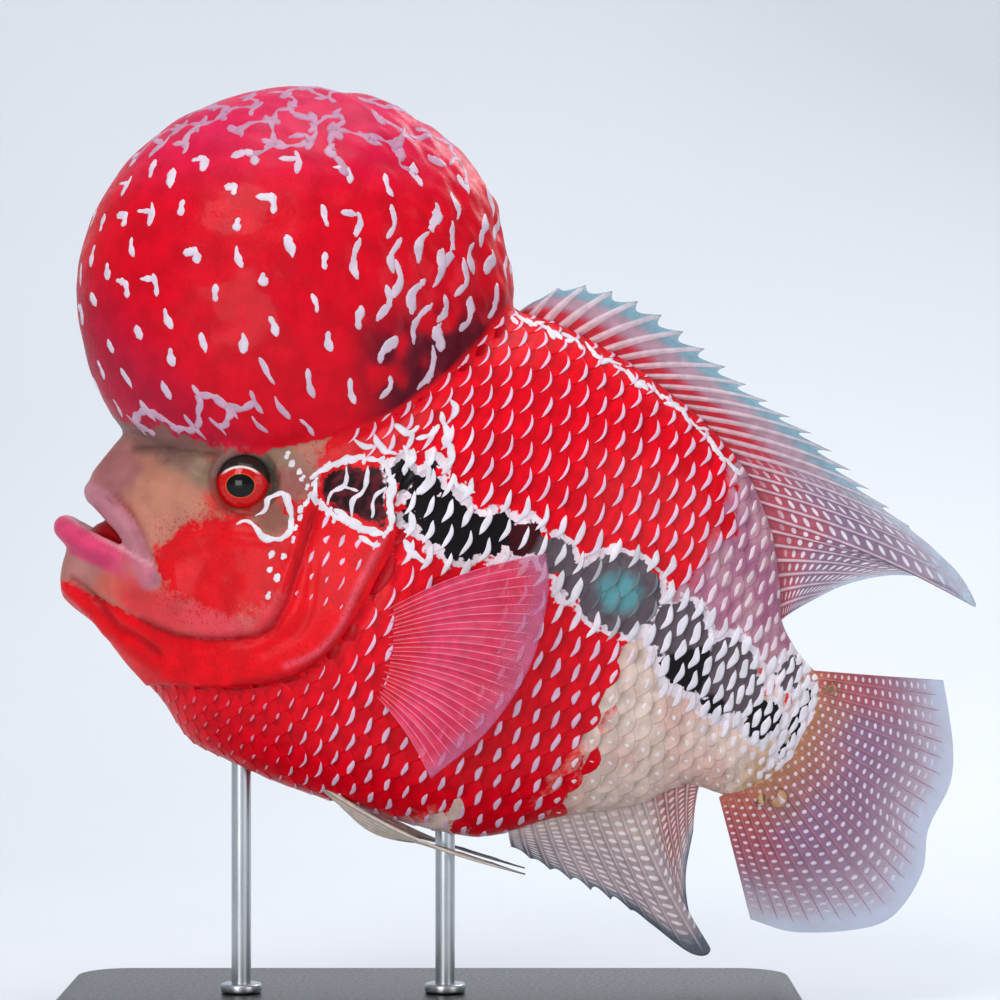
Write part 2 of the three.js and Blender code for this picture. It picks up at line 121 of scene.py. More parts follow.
def level(s):
    """The height at which the body is widest."""
    return belly(s) + WIDEST * (back(s) - belly(s))


def side_at(s, h):
    """Half the body's width at a place on its side."""
    reach = np.where(h > level(s), back(s) - level(s), level(s) - belly(s))
    share = np.minimum(1, np.abs(h - level(s)) / reach)
    return half_width(s) * (1 - share ** ROUNDNESS) ** (1 / ROUNDNESS)


def to_world(points):
    """Points as rows of s, y, h in millimetres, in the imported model's frame in metres."""
    s, y, h = np.asarray(points, float).T
    x = SNOUT_X + s * math.cos(PITCH) + h * math.sin(PITCH)
    z = SNOUT_Z - s * math.sin(PITCH) + h * math.cos(PITCH)
    return np.column_stack((x, y, z)) * MM


def to_body(points):
    """The reverse of to_world."""
    x, y, z = np.asarray(points, float).T / MM
    x = x - SNOUT_X
    z = z - SNOUT_Z
    s = x * math.cos(PITCH) - z * math.sin(PITCH)
    h = x * math.sin(PITCH) + z * math.cos(PITCH)
    return np.column_stack((s, y, h))


def smoothly(low, high, value):
    """0 below low, 1 above high and a smooth rise between them."""
    t = np.clip((value - low) / (high - low), 0, 1)
    return t * t * (3 - 2 * t)


def wander(s, h, size, seed):
    """Smooth noise from -1 to 1 with lumps about size millimetres across."""
    total = 0
    for k in range(5):
        turn = 1.3 * seed + 2.4 * k
        pace = 2 * math.pi / size * (0.55 + 0.25 * k)
        wave = pace * (s * math.cos(turn) + h * math.sin(turn)) + 5.1 * seed + k
        total = total + np.sin(wave) / (1 + 0.4 * k)
    return total / 2.6


SPAN_STEPS = 12


def smooth_line(points, count):
    """Evenly spread points along a smooth curve through the given ones."""
    p = np.array(points, float)
    p = np.vstack((2 * p[0] - p[1], p, 2 * p[-1] - p[-2]))
    out = []
    for i in range(1, len(p) - 2):
        for t in np.linspace(0, 1, SPAN_STEPS, endpoint=False):
            out.append(0.5 * (
                2 * p[i] + (p[i + 1] - p[i - 1]) * t
                + (2 * p[i - 1] - 5 * p[i] + 4 * p[i + 1] - p[i + 2]) * t ** 2
                + (3 * p[i] - p[i - 1] - 3 * p[i + 1] + p[i + 2]) * t ** 3
            ))
    out = np.array(out + [p[-2]])
    run = np.concatenate(([0], np.cumsum(np.linalg.norm(np.diff(out, axis=0), axis=1))))
    even = np.linspace(0, run[-1], count)
    return np.column_stack([np.interp(even, run, out[:, k]) for k in range(out.shape[1])])


def gap_to_line(line, places):
    """Each place's distance to a line of points, in two or three dimensions."""
    best = np.full(len(places), 1e9)
    for a, b in zip(line[:-1], line[1:]):
        along = b - a
        t = np.clip((places - a) @ along / (along @ along), 0, 1)
        best = np.minimum(best, np.linalg.norm(places - a - t[:, None] * along, axis=1))
    return best


def inside(outline, places):
    """Whether each place lies inside a closed outline."""
    odd = np.zeros(len(places), bool)
    s, h = places.T
    for a, b in zip(outline, np.roll(outline, -1, axis=0)):
        crosses = (a[1] > h) != (b[1] > h)
        rise = np.where(b[1] == a[1], 1e-9, b[1] - a[1])
        odd ^= crosses & (s < (b[0] - a[0]) * (h - a[1]) / rise + a[0])
    return odd


# Rear edges of a gill cover and of the cheek, and closed outlines of all that lies ahead of them
FAR_AHEAD = -400
GILL_EDGE = smooth_line([
    (86, 120), (79.5, 89.7), (74, 56), (74.6, 35), (79, 25), (78.6, 11), (76.5, -5),
    (69.7, -17.8), (56.5, -27.2), (36, -37), (26, -50),
], 90)
CHEEK_EDGE = smooth_line([
    (66, 41.5), (62, 42.5), (57, 36), (56.6, 23), (58.5, 9), (59.6, -2.8), (57.5, -11), (47.3, -17.5),
    (36.5, -21.1), (27.4, -21.6), (17.5, -21.4), (10, -22),
], 60)
AHEAD_OF_GILL = np.vstack((GILL_EDGE, [(FAR_AHEAD, -50), (FAR_AHEAD, 120)]))
AHEAD_OF_CHEEK = np.vstack((CHEEK_EDGE, [(FAR_AHEAD, -22), (FAR_AHEAD, 120), (66, 120)]))


# Making and finishing objects


def link(name, points, faces, smooth=True):
    mesh = bpy.data.meshes.new(name)
    mesh.from_pydata(np.asarray(points).tolist(), [], [list(map(int, f)) for f in faces])
    if smooth:
        mesh.shade_smooth()
    made = bpy.data.objects.new(name, mesh)
    bpy.context.collection.objects.link(made)
    return made


def alone(obj):
    bpy.ops.object.select_all(action="DESELECT")
    obj.select_set(True)
    bpy.context.view_layer.objects.active = obj


def apply_modifier(obj, kind, **values):
    alone(obj)
    added = obj.modifiers.new(kind.lower(), kind)
    for name, value in values.items():
        setattr(added, name, value)
    bpy.ops.object.modifier_apply(modifier=added.name)


def join(objects, name):
    bpy.ops.object.select_all(action="DESELECT")
    for obj in objects:
        obj.select_set(True)
    bpy.context.view_layer.objects.active = objects[0]
    bpy.ops.object.join()
    objects[0].name = name
    return objects[0]


def vertices_of(obj):
    out = np.empty(len(obj.data.vertices) * 3)
    obj.data.vertices.foreach_get("co", out)
    return out.reshape(-1, 3)


def normals_of(obj):
    out = np.empty(len(obj.data.vertices) * 3)
    obj.data.vertex_normals.foreach_get("vector", out)
    return out.reshape(-1, 3)


def move_vertices(obj, points):
    obj.data.vertices.foreach_set("co", np.asarray(points).ravel())
    obj.data.update()


def add_number(obj, name, values):
    obj.data.attributes.new(name, "FLOAT", "POINT").data.foreach_set("value", np.asarray(values, float))


def add_colour(obj, name, colours):
    """Stores one colour a vertex."""
    full = np.column_stack((colours, np.ones(len(colours))))
    obj.data.attributes.new(name, "FLOAT_COLOR", "POINT").data.foreach_set("color", full.ravel())


def add_map(obj, name, uv):
    """Stores a UV map from one (u, v) a vertex."""
    corner = np.empty(len(obj.data.loops), int)
    obj.data.loops.foreach_get("vertex_index", corner)
    layer = obj.data.uv_layers.new(name=name)
    layer.data.foreach_set("uv", np.asarray(uv, float)[corner].ravel())


def dress(obj, material, slot, *nodes):
    obj.data.materials.clear()
    obj.data.materials.append(material)
    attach(obj, "root")
    if nodes:
        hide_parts(*nodes)


def ring_faces(rings, around):
    """Quads between rings of points, closed by a fan to a last point at each end."""
    faces = []
    for r in range(rings - 1):
        for k in range(around):
            n = (k + 1) % around
            low, high = r * around, (r + 1) * around
            faces.append((low + k, low + n, high + n, high + k))
    first, last = rings * around, rings * around + 1
    for k in range(around):
        n = (k + 1) % around
        faces.append((first, n, k))
        faces.append((last, (rings - 1) * around + k, (rings - 1) * around + n))
    return faces


# Solids that the skin is drawn over


def signed_power(x, p):
    return np.sign(x) * np.abs(x) ** p


SNOUT_RINGS = [-2.2, -1.8, -1.4, -0.9, -0.4, -0.1, 0.2, 0.5, 0.8, 1.2, 1.6, 2.4, 3.4, 4.5]
LAST_RING = 204.0


def body_blank():
    """The plain body, as rings of points that close up over the snout and the tail."""
    around = 120
    places = np.concatenate((SNOUT_RINGS, np.arange(6, LAST_RING, 2.0), [LAST_RING]))
    turn = 2 * math.pi * np.arange(around) / around
    rise = signed_power(np.cos(turn), 2 / ROUNDNESS)
    out = signed_power(np.sin(turn), 2 / ROUNDNESS)
    rings = []
    for s in places:
        up = back(s) - level(s)
        down = level(s) - belly(s)
        h = level(s) + np.where(rise > 0, up, down) * rise
        thin = np.sqrt(np.clip((tail_end(h) + 2 - s) / 12, 0.01, 1))
        rings.append(np.column_stack((np.full(around, s), half_width(s) * out * thin + swing(s), h)))
    tip = LAST_RING + 2
    ends = [(places[0] - 0.4, 0, level(places[0])), (tip, swing(tip), level(LAST_RING))]
    return link("body_blank", to_world(np.vstack(rings + [ends])), ring_faces(len(places), around))


def hump_to_body(local):
    """From the hump's own axes to the body frame."""
    turn = HUMP_LEAN - PITCH
    x, y, z = local.T
    s = HUMP_S + x * math.cos(turn) + z * math.sin(turn)
    h = HUMP_H - x * math.sin(turn) + z * math.cos(turn)
    return np.column_stack((s, y, h))


def body_to_hump(points):
    """The reverse of hump_to_body."""
    turn = HUMP_LEAN - PITCH
    s, y, h = points.T
    s = s - HUMP_S
    h = h - HUMP_H
    x = s * math.cos(turn) - h * math.sin(turn)
    z = s * math.sin(turn) + h * math.cos(turn)
    return np.column_stack((x, y, z))


def hump_blank():
    """The hump: an egg that is squarer below its middle."""
    around, rows = 96, 64
    power_below = 2 / 2.5
    rings = []
    for r in range(1, rows):
        lat = math.pi * r / rows - math.pi / 2
        lon = 2 * math.pi * np.arange(around) / around
        power = power_below if lat < 0 else 1
        out = abs(math.cos(lat)) ** power
        rings.append(np.column_stack((
            HUMP_HALF[0] * out * np.cos(lon),
            HUMP_HALF[1] * out * np.sin(lon),
            np.full(around, HUMP_HALF[2] * float(signed_power(np.sin(lat), power))),
        )))
    ends = [(0, 0, -HUMP_HALF[2]), (0, 0, HUMP_HALF[2])]
    local = np.vstack(rings + [ends])
    return link("hump_blank", to_world(hump_to_body(local)), ring_faces(rows - 1, around))


END_BULGE = 0.6


def tube_blank(name, line, radius_at, around=20):
    """A round bar along a line, with a bulge at each end."""
    steps = len(line)
    ahead = np.gradient(line, axis=0)
    ahead /= np.linalg.norm(ahead, axis=1)[:, None]
    up = np.tile([0.0, 0.0, 1.0], (steps, 1))
    side = np.cross(ahead, up)
    side /= np.linalg.norm(side, axis=1)[:, None]
    up = np.cross(side, ahead)
    turn = 2 * math.pi * np.arange(around) / around
    rings = []
    for i in range(steps):
        r = radius_at(i / (steps - 1))
        rings.append(line[i] + r * (np.cos(turn)[:, None] * side[i] + np.sin(turn)[:, None] * up[i]))
    ends = [line[0] - ahead[0] * radius_at(0) * END_BULGE, line[-1] + ahead[-1] * radius_at(1) * END_BULGE]
    return link(name, to_world(np.vstack(rings + [ends])), ring_faces(steps, around))


def lip_line(places, front):
    """A lip's middle line from one corner of the mouth round the front to the other."""
    half = [[(s, side * (float(side_at(s, h)) - 0.3), h) for s, h in places] for side in SIDES]
    return smooth_line(half[0] + [front] + half[1][::-1], 72)


UPPER_LIP = lip_line(
    [(25, -10.8), (20, -6.6), (16, -3.4), (11.5, -1.0), (6.5, 0.9), (2.8, 2.0)], front=(-0.4, 0, 2.4))
LOWER_LIP = lip_line(
    [(22, -10.4), (18.5, -10.0), (14.5, -10.0), (8.8, -10.2), (2.4, -10.2)], front=(-2.8, 0, -9.2))
EYE_FLATNESS = 0.86
RIM_OUT = 2.2
RIM_THICKNESS = 1.5
eye_y = float(side_at(EYE_S, EYE_H)) - EYE_SINK


def ball_blank(name, radius, side):
    """A slightly flattened ball at the place of an eye."""
    centre = to_world([(EYE_S, side * eye_y, EYE_H)])[0]
    bpy.ops.object.select_all(action="DESELECT")
    bpy.ops.mesh.primitive_uv_sphere_add(segments=64, ring_count=40, radius=radius * MM, location=centre)
    made = bpy.context.object
    made.name = name
    made.rotation_euler = (math.pi / 2, 0, 0)
    made.scale = (1, 1, EYE_FLATNESS)
    bpy.ops.object.transform_apply(location=True, rotation=True, scale=True)
    return made


def rim_blank(side):
    """The raised ring of skin round an eye."""
    centre = to_world([(EYE_S, side * (eye_y + RIM_OUT), EYE_H)])[0]
    bpy.ops.object.select_all(action="DESELECT")
    bpy.ops.mesh.primitive_torus_add(
        major_segments=64, minor_segments=16, major_radius=(EYE_RADIUS + 0.5) * MM,
        minor_radius=RIM_THICKNESS * MM, location=centre, rotation=(math.pi / 2, 0, 0))
    bpy.ops.object.transform_apply(location=True, rotation=True, scale=True)
    bpy.context.object.name = "rim_blank"
    return bpy.context.object


MOUTH_OUTLINE = [(-14, 0.4), (3, -0.8), (12, -4.0), (19, -7.2), (11, -6.8), (4, -7.2), (-14, -7.4)]
MOUTH_HALF = 21
TONGUE_PLACE = (14, 0, -5.6)
TONGUE_HALF = (10, 9.5, 3.4)


def mouth_blank():
    """The wedge that is cut out between the jaws."""
    points = [(s, y, h) for y in (-MOUTH_HALF, MOUTH_HALF) for s, h in MOUTH_OUTLINE]
    n = len(MOUTH_OUTLINE)
    faces = [tuple(range(n)), tuple(range(2 * n - 1, n - 1, -1))]
    faces += [(k, n + k, n + (k + 1) % n, (k + 1) % n) for k in range(n)]
    made = link("mouth_blank", to_world(points), faces, smooth=False)
    apply_modifier(made, "TRIANGULATE")
    face_outwards(made)
    return made


def tongue_blank():
    """A flat swelling that closes the mouth's slot half way across."""
    bpy.ops.object.select_all(action="DESELECT")
    bpy.ops.mesh.primitive_uv_sphere_add(
        segments=32, ring_count=20, radius=1, location=to_world([TONGUE_PLACE])[0])
    made = bpy.context.object
    made.name = "tongue_blank"
    made.scale = [half * MM for half in TONGUE_HALF]
    made.rotation_euler = (0, PITCH, 0)
    bpy.ops.object.transform_apply(location=True, rotation=True, scale=True)
    return made


def cut(obj, tool):
    """Takes one solid out of another and deletes it."""
    apply_modifier(obj, "BOOLEAN", operation="DIFFERENCE", solver="EXACT", object=tool)
    bpy.data.objects.remove(tool)


def outside_body(points):
    """How far each point of the body frame lies outside the plain body, about in millimetres."""
    s, y, h = points.T
    mid = level(s)
    reach = np.where(h > mid, back(s) - mid, mid - belly(s))
    share = np.abs(h - mid) / reach
    wide = half_width(s)
    across = np.abs(y - swing(s)) / wide
    grow = (share ** ROUNDNESS + across ** ROUNDNESS) ** (1 / ROUNDNESS)
    return (grow - 1) * np.minimum(wide, reach)


def bump_line(line, places, width, height):
    """A rounded ridge along a line, or a groove where its height is below zero."""
    return height * np.exp(-(gap_to_line(line, places) / width) ** 2)


LIP_GROOVE = [(5.4, 3.6), (11, 3.0), (15.5, 0.2), (19.6, -3.4), (23.4, -7.0), (26.8, -10.8)]
JAW_CREASE = [(5.5, -20.1), (11.7, -21), (16.5, -23.7), (21.8, -26.2), (28, -26.4), (35, -27.6)]
BROW_CREASE = [(6, 17.6), (12, 20.6), (19, 22.8), (27, 25.6)]
# Ridges and grooves of the head: line, width and height
FOLDS = [
    (LIP_GROOVE, 1.0, -1.15),
    ([(27, -11.5), (27.5, -15), (24, -18)], 1.6, -0.6),
    ([(29, -5), (33, -11), (32, -17)], 3, 0.7),
    (JAW_CREASE, 1.1, -1.1),
    ([(4.5, -23.2), (10, -24.6), (15, -26.6), (19, -29)], 2.2, 1.0),
    ([(24, -29.5), (32, -30.5), (41, -31)], 2.6, 0.8),
    ([(62, 12), (66, -4), (60, -15)], 1.6, -0.4),
    ([(16, 12), (20, 18.5), (27, 17.5)], 2.6, 0.9),
    ([(6, 20), (13, 24), (24, 27.6), (33, 31)], 2.4, 1.1),
    (BROW_CREASE, 1.1, -0.8),
    ([(46, 29), (50.5, 21), (48, 12), (40, 9)], 2.2, 0.6),
    ([(10, 6.6), (15, 3.8), (20, -0.6), (25, -4.6)], 1.6, 0.6),
    ([(15, 19), (15.1, 19.1)], 1.3, -1.4),
]


def gill_step(flat):
    """The raised rear edge of the gill cover and the dip behind it."""
    gap = gap_to_line(GILL_EDGE, flat)
    raised = 1.5 * np.exp(-gap / 13) * smoothly(0, 0.9, gap)
    return np.where(inside(AHEAD_OF_GILL, flat), raised, -0.9 * np.exp(-gap / 1.6))


def cheek_step(flat):
    """The raised rear edge of the cheek and the groove behind it."""
    gap = gap_to_line(CHEEK_EDGE, flat)
    raised = 1.3 * np.exp(-gap / 9) * smoothly(0, 1.6, gap)
    return np.where(inside(AHEAD_OF_CHEEK, flat), raised, -0.8 * np.exp(-(gap / 1.4) ** 2))


def fold_skin(skin):
    """Raises gill covers, grooves, brows and lumps out of the plain skin."""
    points = to_body(vertices_of(skin))
    s, y, h = points.T
    flat = np.column_stack((s, h))
    off_body = outside_body(points)
    on_hump = smoothly(0.8, 3.5, off_body) * (h > 22)
    flank = (1 - smoothly(0.2, 1.4, off_body)) * smoothly(2, 8, np.abs(y))
    lift = gill_step(flat) * flank * smoothly(48, 36, h)
    lift += flank * cheek_step(flat) * smoothly(40, 30, h)
    for line, width, height in FOLDS:
        lift += flank * bump_line(smooth_line(line, 30), flat, width, height)
    hump_x, _y, hump_z = body_to_hump(points).T
    rear = smoothly(0, 40, hump_x)
    lumps = wander(hump_x, hump_z + 0.4 * y, 15, 2) + wander(hump_x + y, hump_z, 9, 5)
    lift += on_hump * lumps * (0.22 + 0.42 * rear)
    lift += flank * inside(AHEAD_OF_CHEEK, flat) * 0.12 * wander(s, h + y, 7, 3)
    move_vertices(skin, vertices_of(skin) + normals_of(skin) * (lift * MM)[:, None])


# Markings, as rules in the body frame

RED = tint("D40018")
DEEP_RED = tint("A80012")
CREAM = tint("D6BEB2")
ROSE = tint("A66884")
MAROON = tint("3E0D18")
BLACK = tint("120C12")
SLATE = tint("5C5058")
TEAL = tint("4F8F96")
GOLD = tint("B98A4E")
FLANK_RED = RED + (DEEP_RED - RED) * 0.35
HEAD_RED = tint("DA0414")
CHEEK_RED = tint("D00C18")
# The dark patches along the flank, from the gill cover back: s, h, half length, half height
# and colour. The ocellus is the round one with a teal heart.
OCELLUS = (136.5, 37.2)
DARK_PATCHES = [
    (72.5, 40, 3.0, 4.4, BLACK), (80, 39, 3.2, 7.2, BLACK), (87, 35.5, 4.4, 6.6, BLACK),
    (93.5, 33.5, 5.4, 6.4, BLACK), (101, 37.5, 4.6, 5.4, BLACK), (108, 39.5, 4.2, 4.6, MAROON),
    (117, 39, 5.6, 4.0, SLATE), (124, 35, 3.4, 4.0, SLATE), (*OCELLUS, 11, 9.6, SLATE),
    (155, 35, 7.4, 7.6, SLATE), (162, 27.4, 7.6, 6.4, BLACK), (171, 30.5, 6.4, 8.6, SLATE),
    (178, 27, 4.4, 6.4, SLATE), (186.2, 22.6, 4.7, 5.0, BLACK), (195.8, 25.4, 1.4, 6.2, BLACK),
    (187.7, 37, 3.4, 4, SLATE), (172, 21.5, 3.4, 2.8, BLACK),
]


def patch_gap(s, h):
    """Distance outside the nearest dark patch, negative inside it, and that patch's colour."""
    best = np.full(len(s), 1e9)
    colour = np.tile(BLACK, (len(s), 1))
    for ps, ph, rs, rh, shade in DARK_PATCHES:
        gap = (np.hypot((s - ps) / rs, (h - ph) / rh) - 1) * min(rs, rh)
        nearer = gap < best
        best = np.where(nearer, gap, best)
        colour[nearer] = shade
    return best, colour


def blend_in(colours, colour, share):
    """Rows of colours, each moved towards a colour by its own share."""
    return colours + (np.asarray(colour) - colours) * np.asarray(share)[:, None]


# Where the dusky upper rear starts, at places up the body
dusky_start = profile([(30, 149), (43, 150), (49, 153), (58, 156), (68, 157.5), (80, 148), (95, 142)])


def pale_reach(s, h):
    """How far inside the pale rear of the body a place lies, in millimetres."""
    stray = 3 * wander(s, h, 16, 1) + 1.5 * wander(s, h, 6, 4)
    low_rear = np.minimum(s - 145.5, 33 - h) + stray
    high_rear = np.minimum(s - dusky_start(h), h - 34) + stray
    vent = np.minimum(-35.5 - h, s - 112) + 0.5 * stray
    return np.maximum(np.maximum(low_rear, high_rear), vent)


def pale_colours(s, h):
    """The cream underside and the dusky pink upper rear, with gold by the tail."""
    high = smoothly(30, 42, h)
    out = np.tile(CREAM, (len(s), 1))
    out = blend_in(out, tint("CFA096"), 0.6 * smoothly(-0.3, 0.5, wander(s, h, 18, 5)))
    out = blend_in(out, ROSE, high)
    out = blend_in(out, tint("C096A0"), 0.6 * high * smoothly(-0.2, 0.4, wander(s, h, 8, 8)))
    out = blend_in(out, GOLD, 0.75 * smoothly(185, 194, s) * smoothly(24, 8, h))
    return blend_in(out, GOLD, 0.6 * smoothly(188, 196, s) * smoothly(30, 36, h))


def add_marks(obj, s, h, pale, pale_paint):
    """Stores what the shared marking nodes read: the pale areas and the dark patches."""
    gap, shade = patch_gap(s, h)
    off_centre = np.hypot(s - OCELLUS[0], 1.15 * (h - OCELLUS[1]))
    heart = smoothly(7.6, 4, off_centre + 0.8 * wander(s, h, 4, 3))
    add_number(obj, "pale", pale)
    add_colour(obj, "pale_paint", pale_paint)
    add_number(obj, "dark_gap", gap + 0.8 * wander(s, h, 5, 6))
    add_colour(obj, "dark_paint", blend_in(shade, TEAL, 0.85 * heart))


# The bare part of the face
FACE_EDGE = [
    (38.5, 13.6), (33, 11.0), (28.2, 6.2), (24.6, 0.6), (23.6, -5.5), (26.6, -9.5), (31.5, -11.8),
    (38, -12.2), (45, -10.6), (52, -7), (58, 1), (66, 1), (66, -32), (24, -32), (12, -32), (3, -32),
    (-12, -22), (-12, 60), (44, 60), (52, 36), (53.6, 28), (51.6, 23), (45.5, 24), (42, 19),
]
# Soft tints on it: s, h, half length, half height, colour and strength
FACE_TINTS = [
    (23, 21, 12, 5, "7C6C58", 0.8), (10, 22, 12, 5, "7A5450", 0.85), (17, 11, 12, 6, "B27860", 0.6),
    (4, 9, 7, 9, "965C64", 0.75), (33, 14.6, 4, 2.6, "CE2A1E", 0.8), (27, 24.4, 3, 1.6, "8E3A2C", 0.6),
    (8, -16, 9, 5.5, "A8706E", 0.75), (19, -17, 8, 5, "C4584C", 0.8), (30, -17.5, 12, 6.5, "CC343C", 0.92),
    (46, -13.5, 14, 6.5, "CE3A48", 0.92), (58, -4, 6, 10, "D02838", 0.9),
    (46.8, 17.2, 5.6, 5.2, "80564A", 0.95), (49, 28.5, 5.5, 7, "8A5450", 0.85),
    (42, 32.5, 9, 3.4, "7A6450", 0.75), (30, 31, 12, 2.6, "76684E", 0.7), (9, 26.5, 12, 3, "6C4444", 0.85),
]
CHEEK_GROOVE = [
    (56.8, 23), (58.7, 9.2), (59.8, -2.8), (57.8, -10.6), (47.3, -17.5), (36.5, -21.1), (27.4, -21.6),
]
GILL_RIDGE = [(75.6, 26), (75, 16), (74.8, 7), (75, -1), (72.3, -9.4), (66.6, -16)]
GILL_GROOVE = [(76.7, 24.4), (76.2, 11), (75.2, -4.5), (69, -16.8), (56.5, -26)]
# Coloured lines along the folds, painted shade in the grooves and a pink line on the gill cover's ridge:
# line, width, colour and strength
CREASES = [
    (LIP_GROOVE, 0.9, "8A2830", 0.75), (JAW_CREASE, 1.0, "860010", 0.6), (BROW_CREASE, 1.0, "4E3630", 0.65),
    (CHEEK_GROOVE, 1.0, "960414", 0.7), (GILL_RIDGE, 0.8, "DC5C74", 0.6), (GILL_GROOVE, 0.8, "6E0410", 0.5),
]
JAW_LOBE = (11, -24.8)
EYE_SPOT = (46.8, 17.2)
# The dark patch on the gill cover
OPERCLE_PATCH = np.array([
    (54.4, 30.6), (58, 35.7), (66.5, 40.4), (69.4, 38), (72, 33), (74.4, 27.6), (67.5, 26.4), (60, 26.2),
    (56, 27.6),
], float)


def outline_gap(outline, flat):
    """Distance to a closed outline, positive inside it."""
    closed = np.vstack((outline, outline[:1]))
    gap = gap_to_line(closed, flat)
    return np.where(inside(outline, flat), gap, -gap)


def face_paint(s, h, head, paint):
    """The bare face's tints and the red lobe of the lower jaw, over a ground."""
    for fs, fh, rs, rh, shade, share in FACE_TINTS:
        reach = np.hypot((s - fs) / rs, (h - fh) / rh)
        reach = reach + 0.2 * wander(s, h, 9, fs) + 0.08 * wander(s, h, 3.4, fh)
        paint = blend_in(paint, tint(shade), share * head * smoothly(1.35, 0.5, reach))
    behind, above = s - JAW_LOBE[0], h - JAW_LOBE[1]
    lobe = smoothly(1.15, 0.75, np.hypot((behind - 0.9 * above) / 9.6, (above + 0.4 * behind) / 3.2))
    return blend_in(paint, tint("D80A22"), lobe * head)


def mouth_paint(points, pale, paint):
    """The lips and the inside of the mouth: how far in the pale area they lie, and their colours."""
    s, y, h = points.T
    upper = gap_to_line(UPPER_LIP, points)
    lower = gap_to_line(LOWER_LIP, points) - 0.9
    lips = smoothly(3.6, 2.2, np.minimum(upper, lower))
    red_front = 0.25 + 0.75 * smoothly(22, 12, s)
    top_of_lip = smoothly(-7.4, -5.8, h + 0.05 * s)
    paint = blend_in(paint, tint("B0707E"), 0.9 * smoothly(3.8, 2.2, upper))
    paint = blend_in(paint, tint("C83C66"), smoothly(3.8, 2.5, lower) * red_front)
    paint = blend_in(paint, tint("E2A8B0"), 0.85 * smoothly(3.6, 2.4, lower) * top_of_lip)
    in_mouth = (np.abs(y) < side_at(s, h) - 3.0) & (h < 0.6) & (h > -9.5) & (s < 24) & (s > 2.6)
    paint = blend_in(paint, tint("9C0810"), in_mouth * smoothly(1.9, 2.5, np.minimum(upper, lower)))
    return np.where((lips > 0.3) | in_mouth, 9, pale), paint


def hump_paint(points):
    """The hump's red, with a painted pink sheen on its crown, painted shade along its lower front rim and
    painted shade on its lower rear.
    """
    s, _y, h = points.T
    place = body_to_hump(points)
    hump_red_and_painted_light = np.tile(tint("C8021C"), (len(s), 1))
    # Painted sheen: the hump is pinker towards its top, as if lit from above.
    hump_red_and_painted_light = blend_in(hump_red_and_painted_light, tint("C4184A"), smoothly(16, 46, place[:, 2] + 0.2 * place[:, 0]))
    # Painted shade: darker and more purple along the hump's lower front rim.
    hump_red_and_painted_light = blend_in(hump_red_and_painted_light, tint("A00C34"), 0.8 * smoothly(34, 58, -place[:, 0] - 0.6 * place[:, 2]))
    # Painted shade: dark patches over the hump's lower rear, where it curves under.
    shade = smoothly(9, 22, place[:, 0]) * smoothly(-10, -24, place[:, 2])
    return blend_in(hump_red_and_painted_light, tint("38081C"), 0.9 * shade * smoothly(-0.7, 0.0, wander(s, h, 10, 7)))


NEVER_PALE = -9


def skin_colours(points, on_hump):
    """The skin's own colours: its red ground and, as a second layer, its pale areas.

    The number between them says how far inside a pale area each point lies.
    """
    s, _y, h = points.T
    flat = np.column_stack((s, h))
    head = inside(AHEAD_OF_GILL, flat)
    cheek = inside(AHEAD_OF_CHEEK, flat) & head
    out = np.where(head[:, None], HEAD_RED, FLANK_RED)
    out[cheek] = CHEEK_RED
    face = smooth_line(FACE_EDGE + FACE_EDGE[:1], 120)[:-1]
    bare = outline_gap(face, flat) + 1.0 * wander(s, h, 7, 4)
    pale = np.where(head, np.where(cheek, bare, NEVER_PALE), pale_reach(s, h))
    pale_paint = np.where(head[:, None], tint("B07262"), pale_colours(s, h))
    pale_paint = face_paint(s, h, head, pale_paint)
    spot = np.hypot((s - EYE_SPOT[0]) / 5.6, (h - EYE_SPOT[1]) / 5)
    pale = np.where(head & (spot < 1.2), np.maximum(pale, 5 * (1 - spot)), pale)
    # Painted shade along the grooves, and the pink line on the gill cover's ridge.
    for line, width, shade, share in CREASES:
        gap = gap_to_line(smooth_line(line, 40), flat)
        near = share * np.exp(-(gap / width) ** 2) * (1 - on_hump) * head
        out = blend_in(out, tint(shade), near)
        pale_paint = blend_in(pale_paint, tint(shade), near)
    pale, pale_paint = mouth_paint(points, pale, pale_paint)
    eye_gap = np.hypot(s - EYE_S, h - EYE_H)
    rim = smoothly(9.8, 8.6, eye_gap) * (eye_gap > 4)
    above = smoothly(-1, 2.5, h - EYE_H + 0.35 * (s - EYE_S))
    for colours in (out, pale_paint):
        colours[:] = blend_in(colours, tint("6E1A14"), 0.75 * rim)
        colours[:] = blend_in(colours, tint("34382F"), 0.95 * rim * above)
    out = out + (hump_paint(points) - out) * on_hump[:, None]
    base_roll = 5 - (h - 21 - 0.2 * s + 1.4 * wander(s, h, 9, 3)) - 3 * smoothly(30, 42, s)
    pale = np.where(on_hump > 0.5, np.where(s < 42, base_roll - 3.2, NEVER_PALE), pale)
    pale_paint = pale_paint + (tint("785650") - pale_paint) * on_hump[:, None]
    return out, pale, pale_paint


def soften_mouth(skin):
    """Blends the lips into the face towards the corners of the mouth."""
    points = to_body(vertices_of(skin))
    s = points[:, 0]
    gap = np.minimum(gap_to_line(UPPER_LIP, points), gap_to_line(LOWER_LIP, points))
    share = smoothly(7, 4, gap) * (0.12 + 0.5 * smoothly(6, 20, s))
    weights = skin.vertex_groups.new(name="mouth")
    for index in np.nonzero(share > 0)[0]:
        weights.add([int(index)], float(share[index]), "REPLACE")
    apply_modifier(skin, "SMOOTH", factor=0.5, iterations=14, vertex_group="mouth")


SKIN_STEP = 1.045


def upper_lip_radius(t):
    return 2.0 + 0.5 * math.sin(math.pi * t) ** 6


def lower_lip_radius(t):
    return 1.3 + 2.1 * math.sin(math.pi * t) ** 0.7


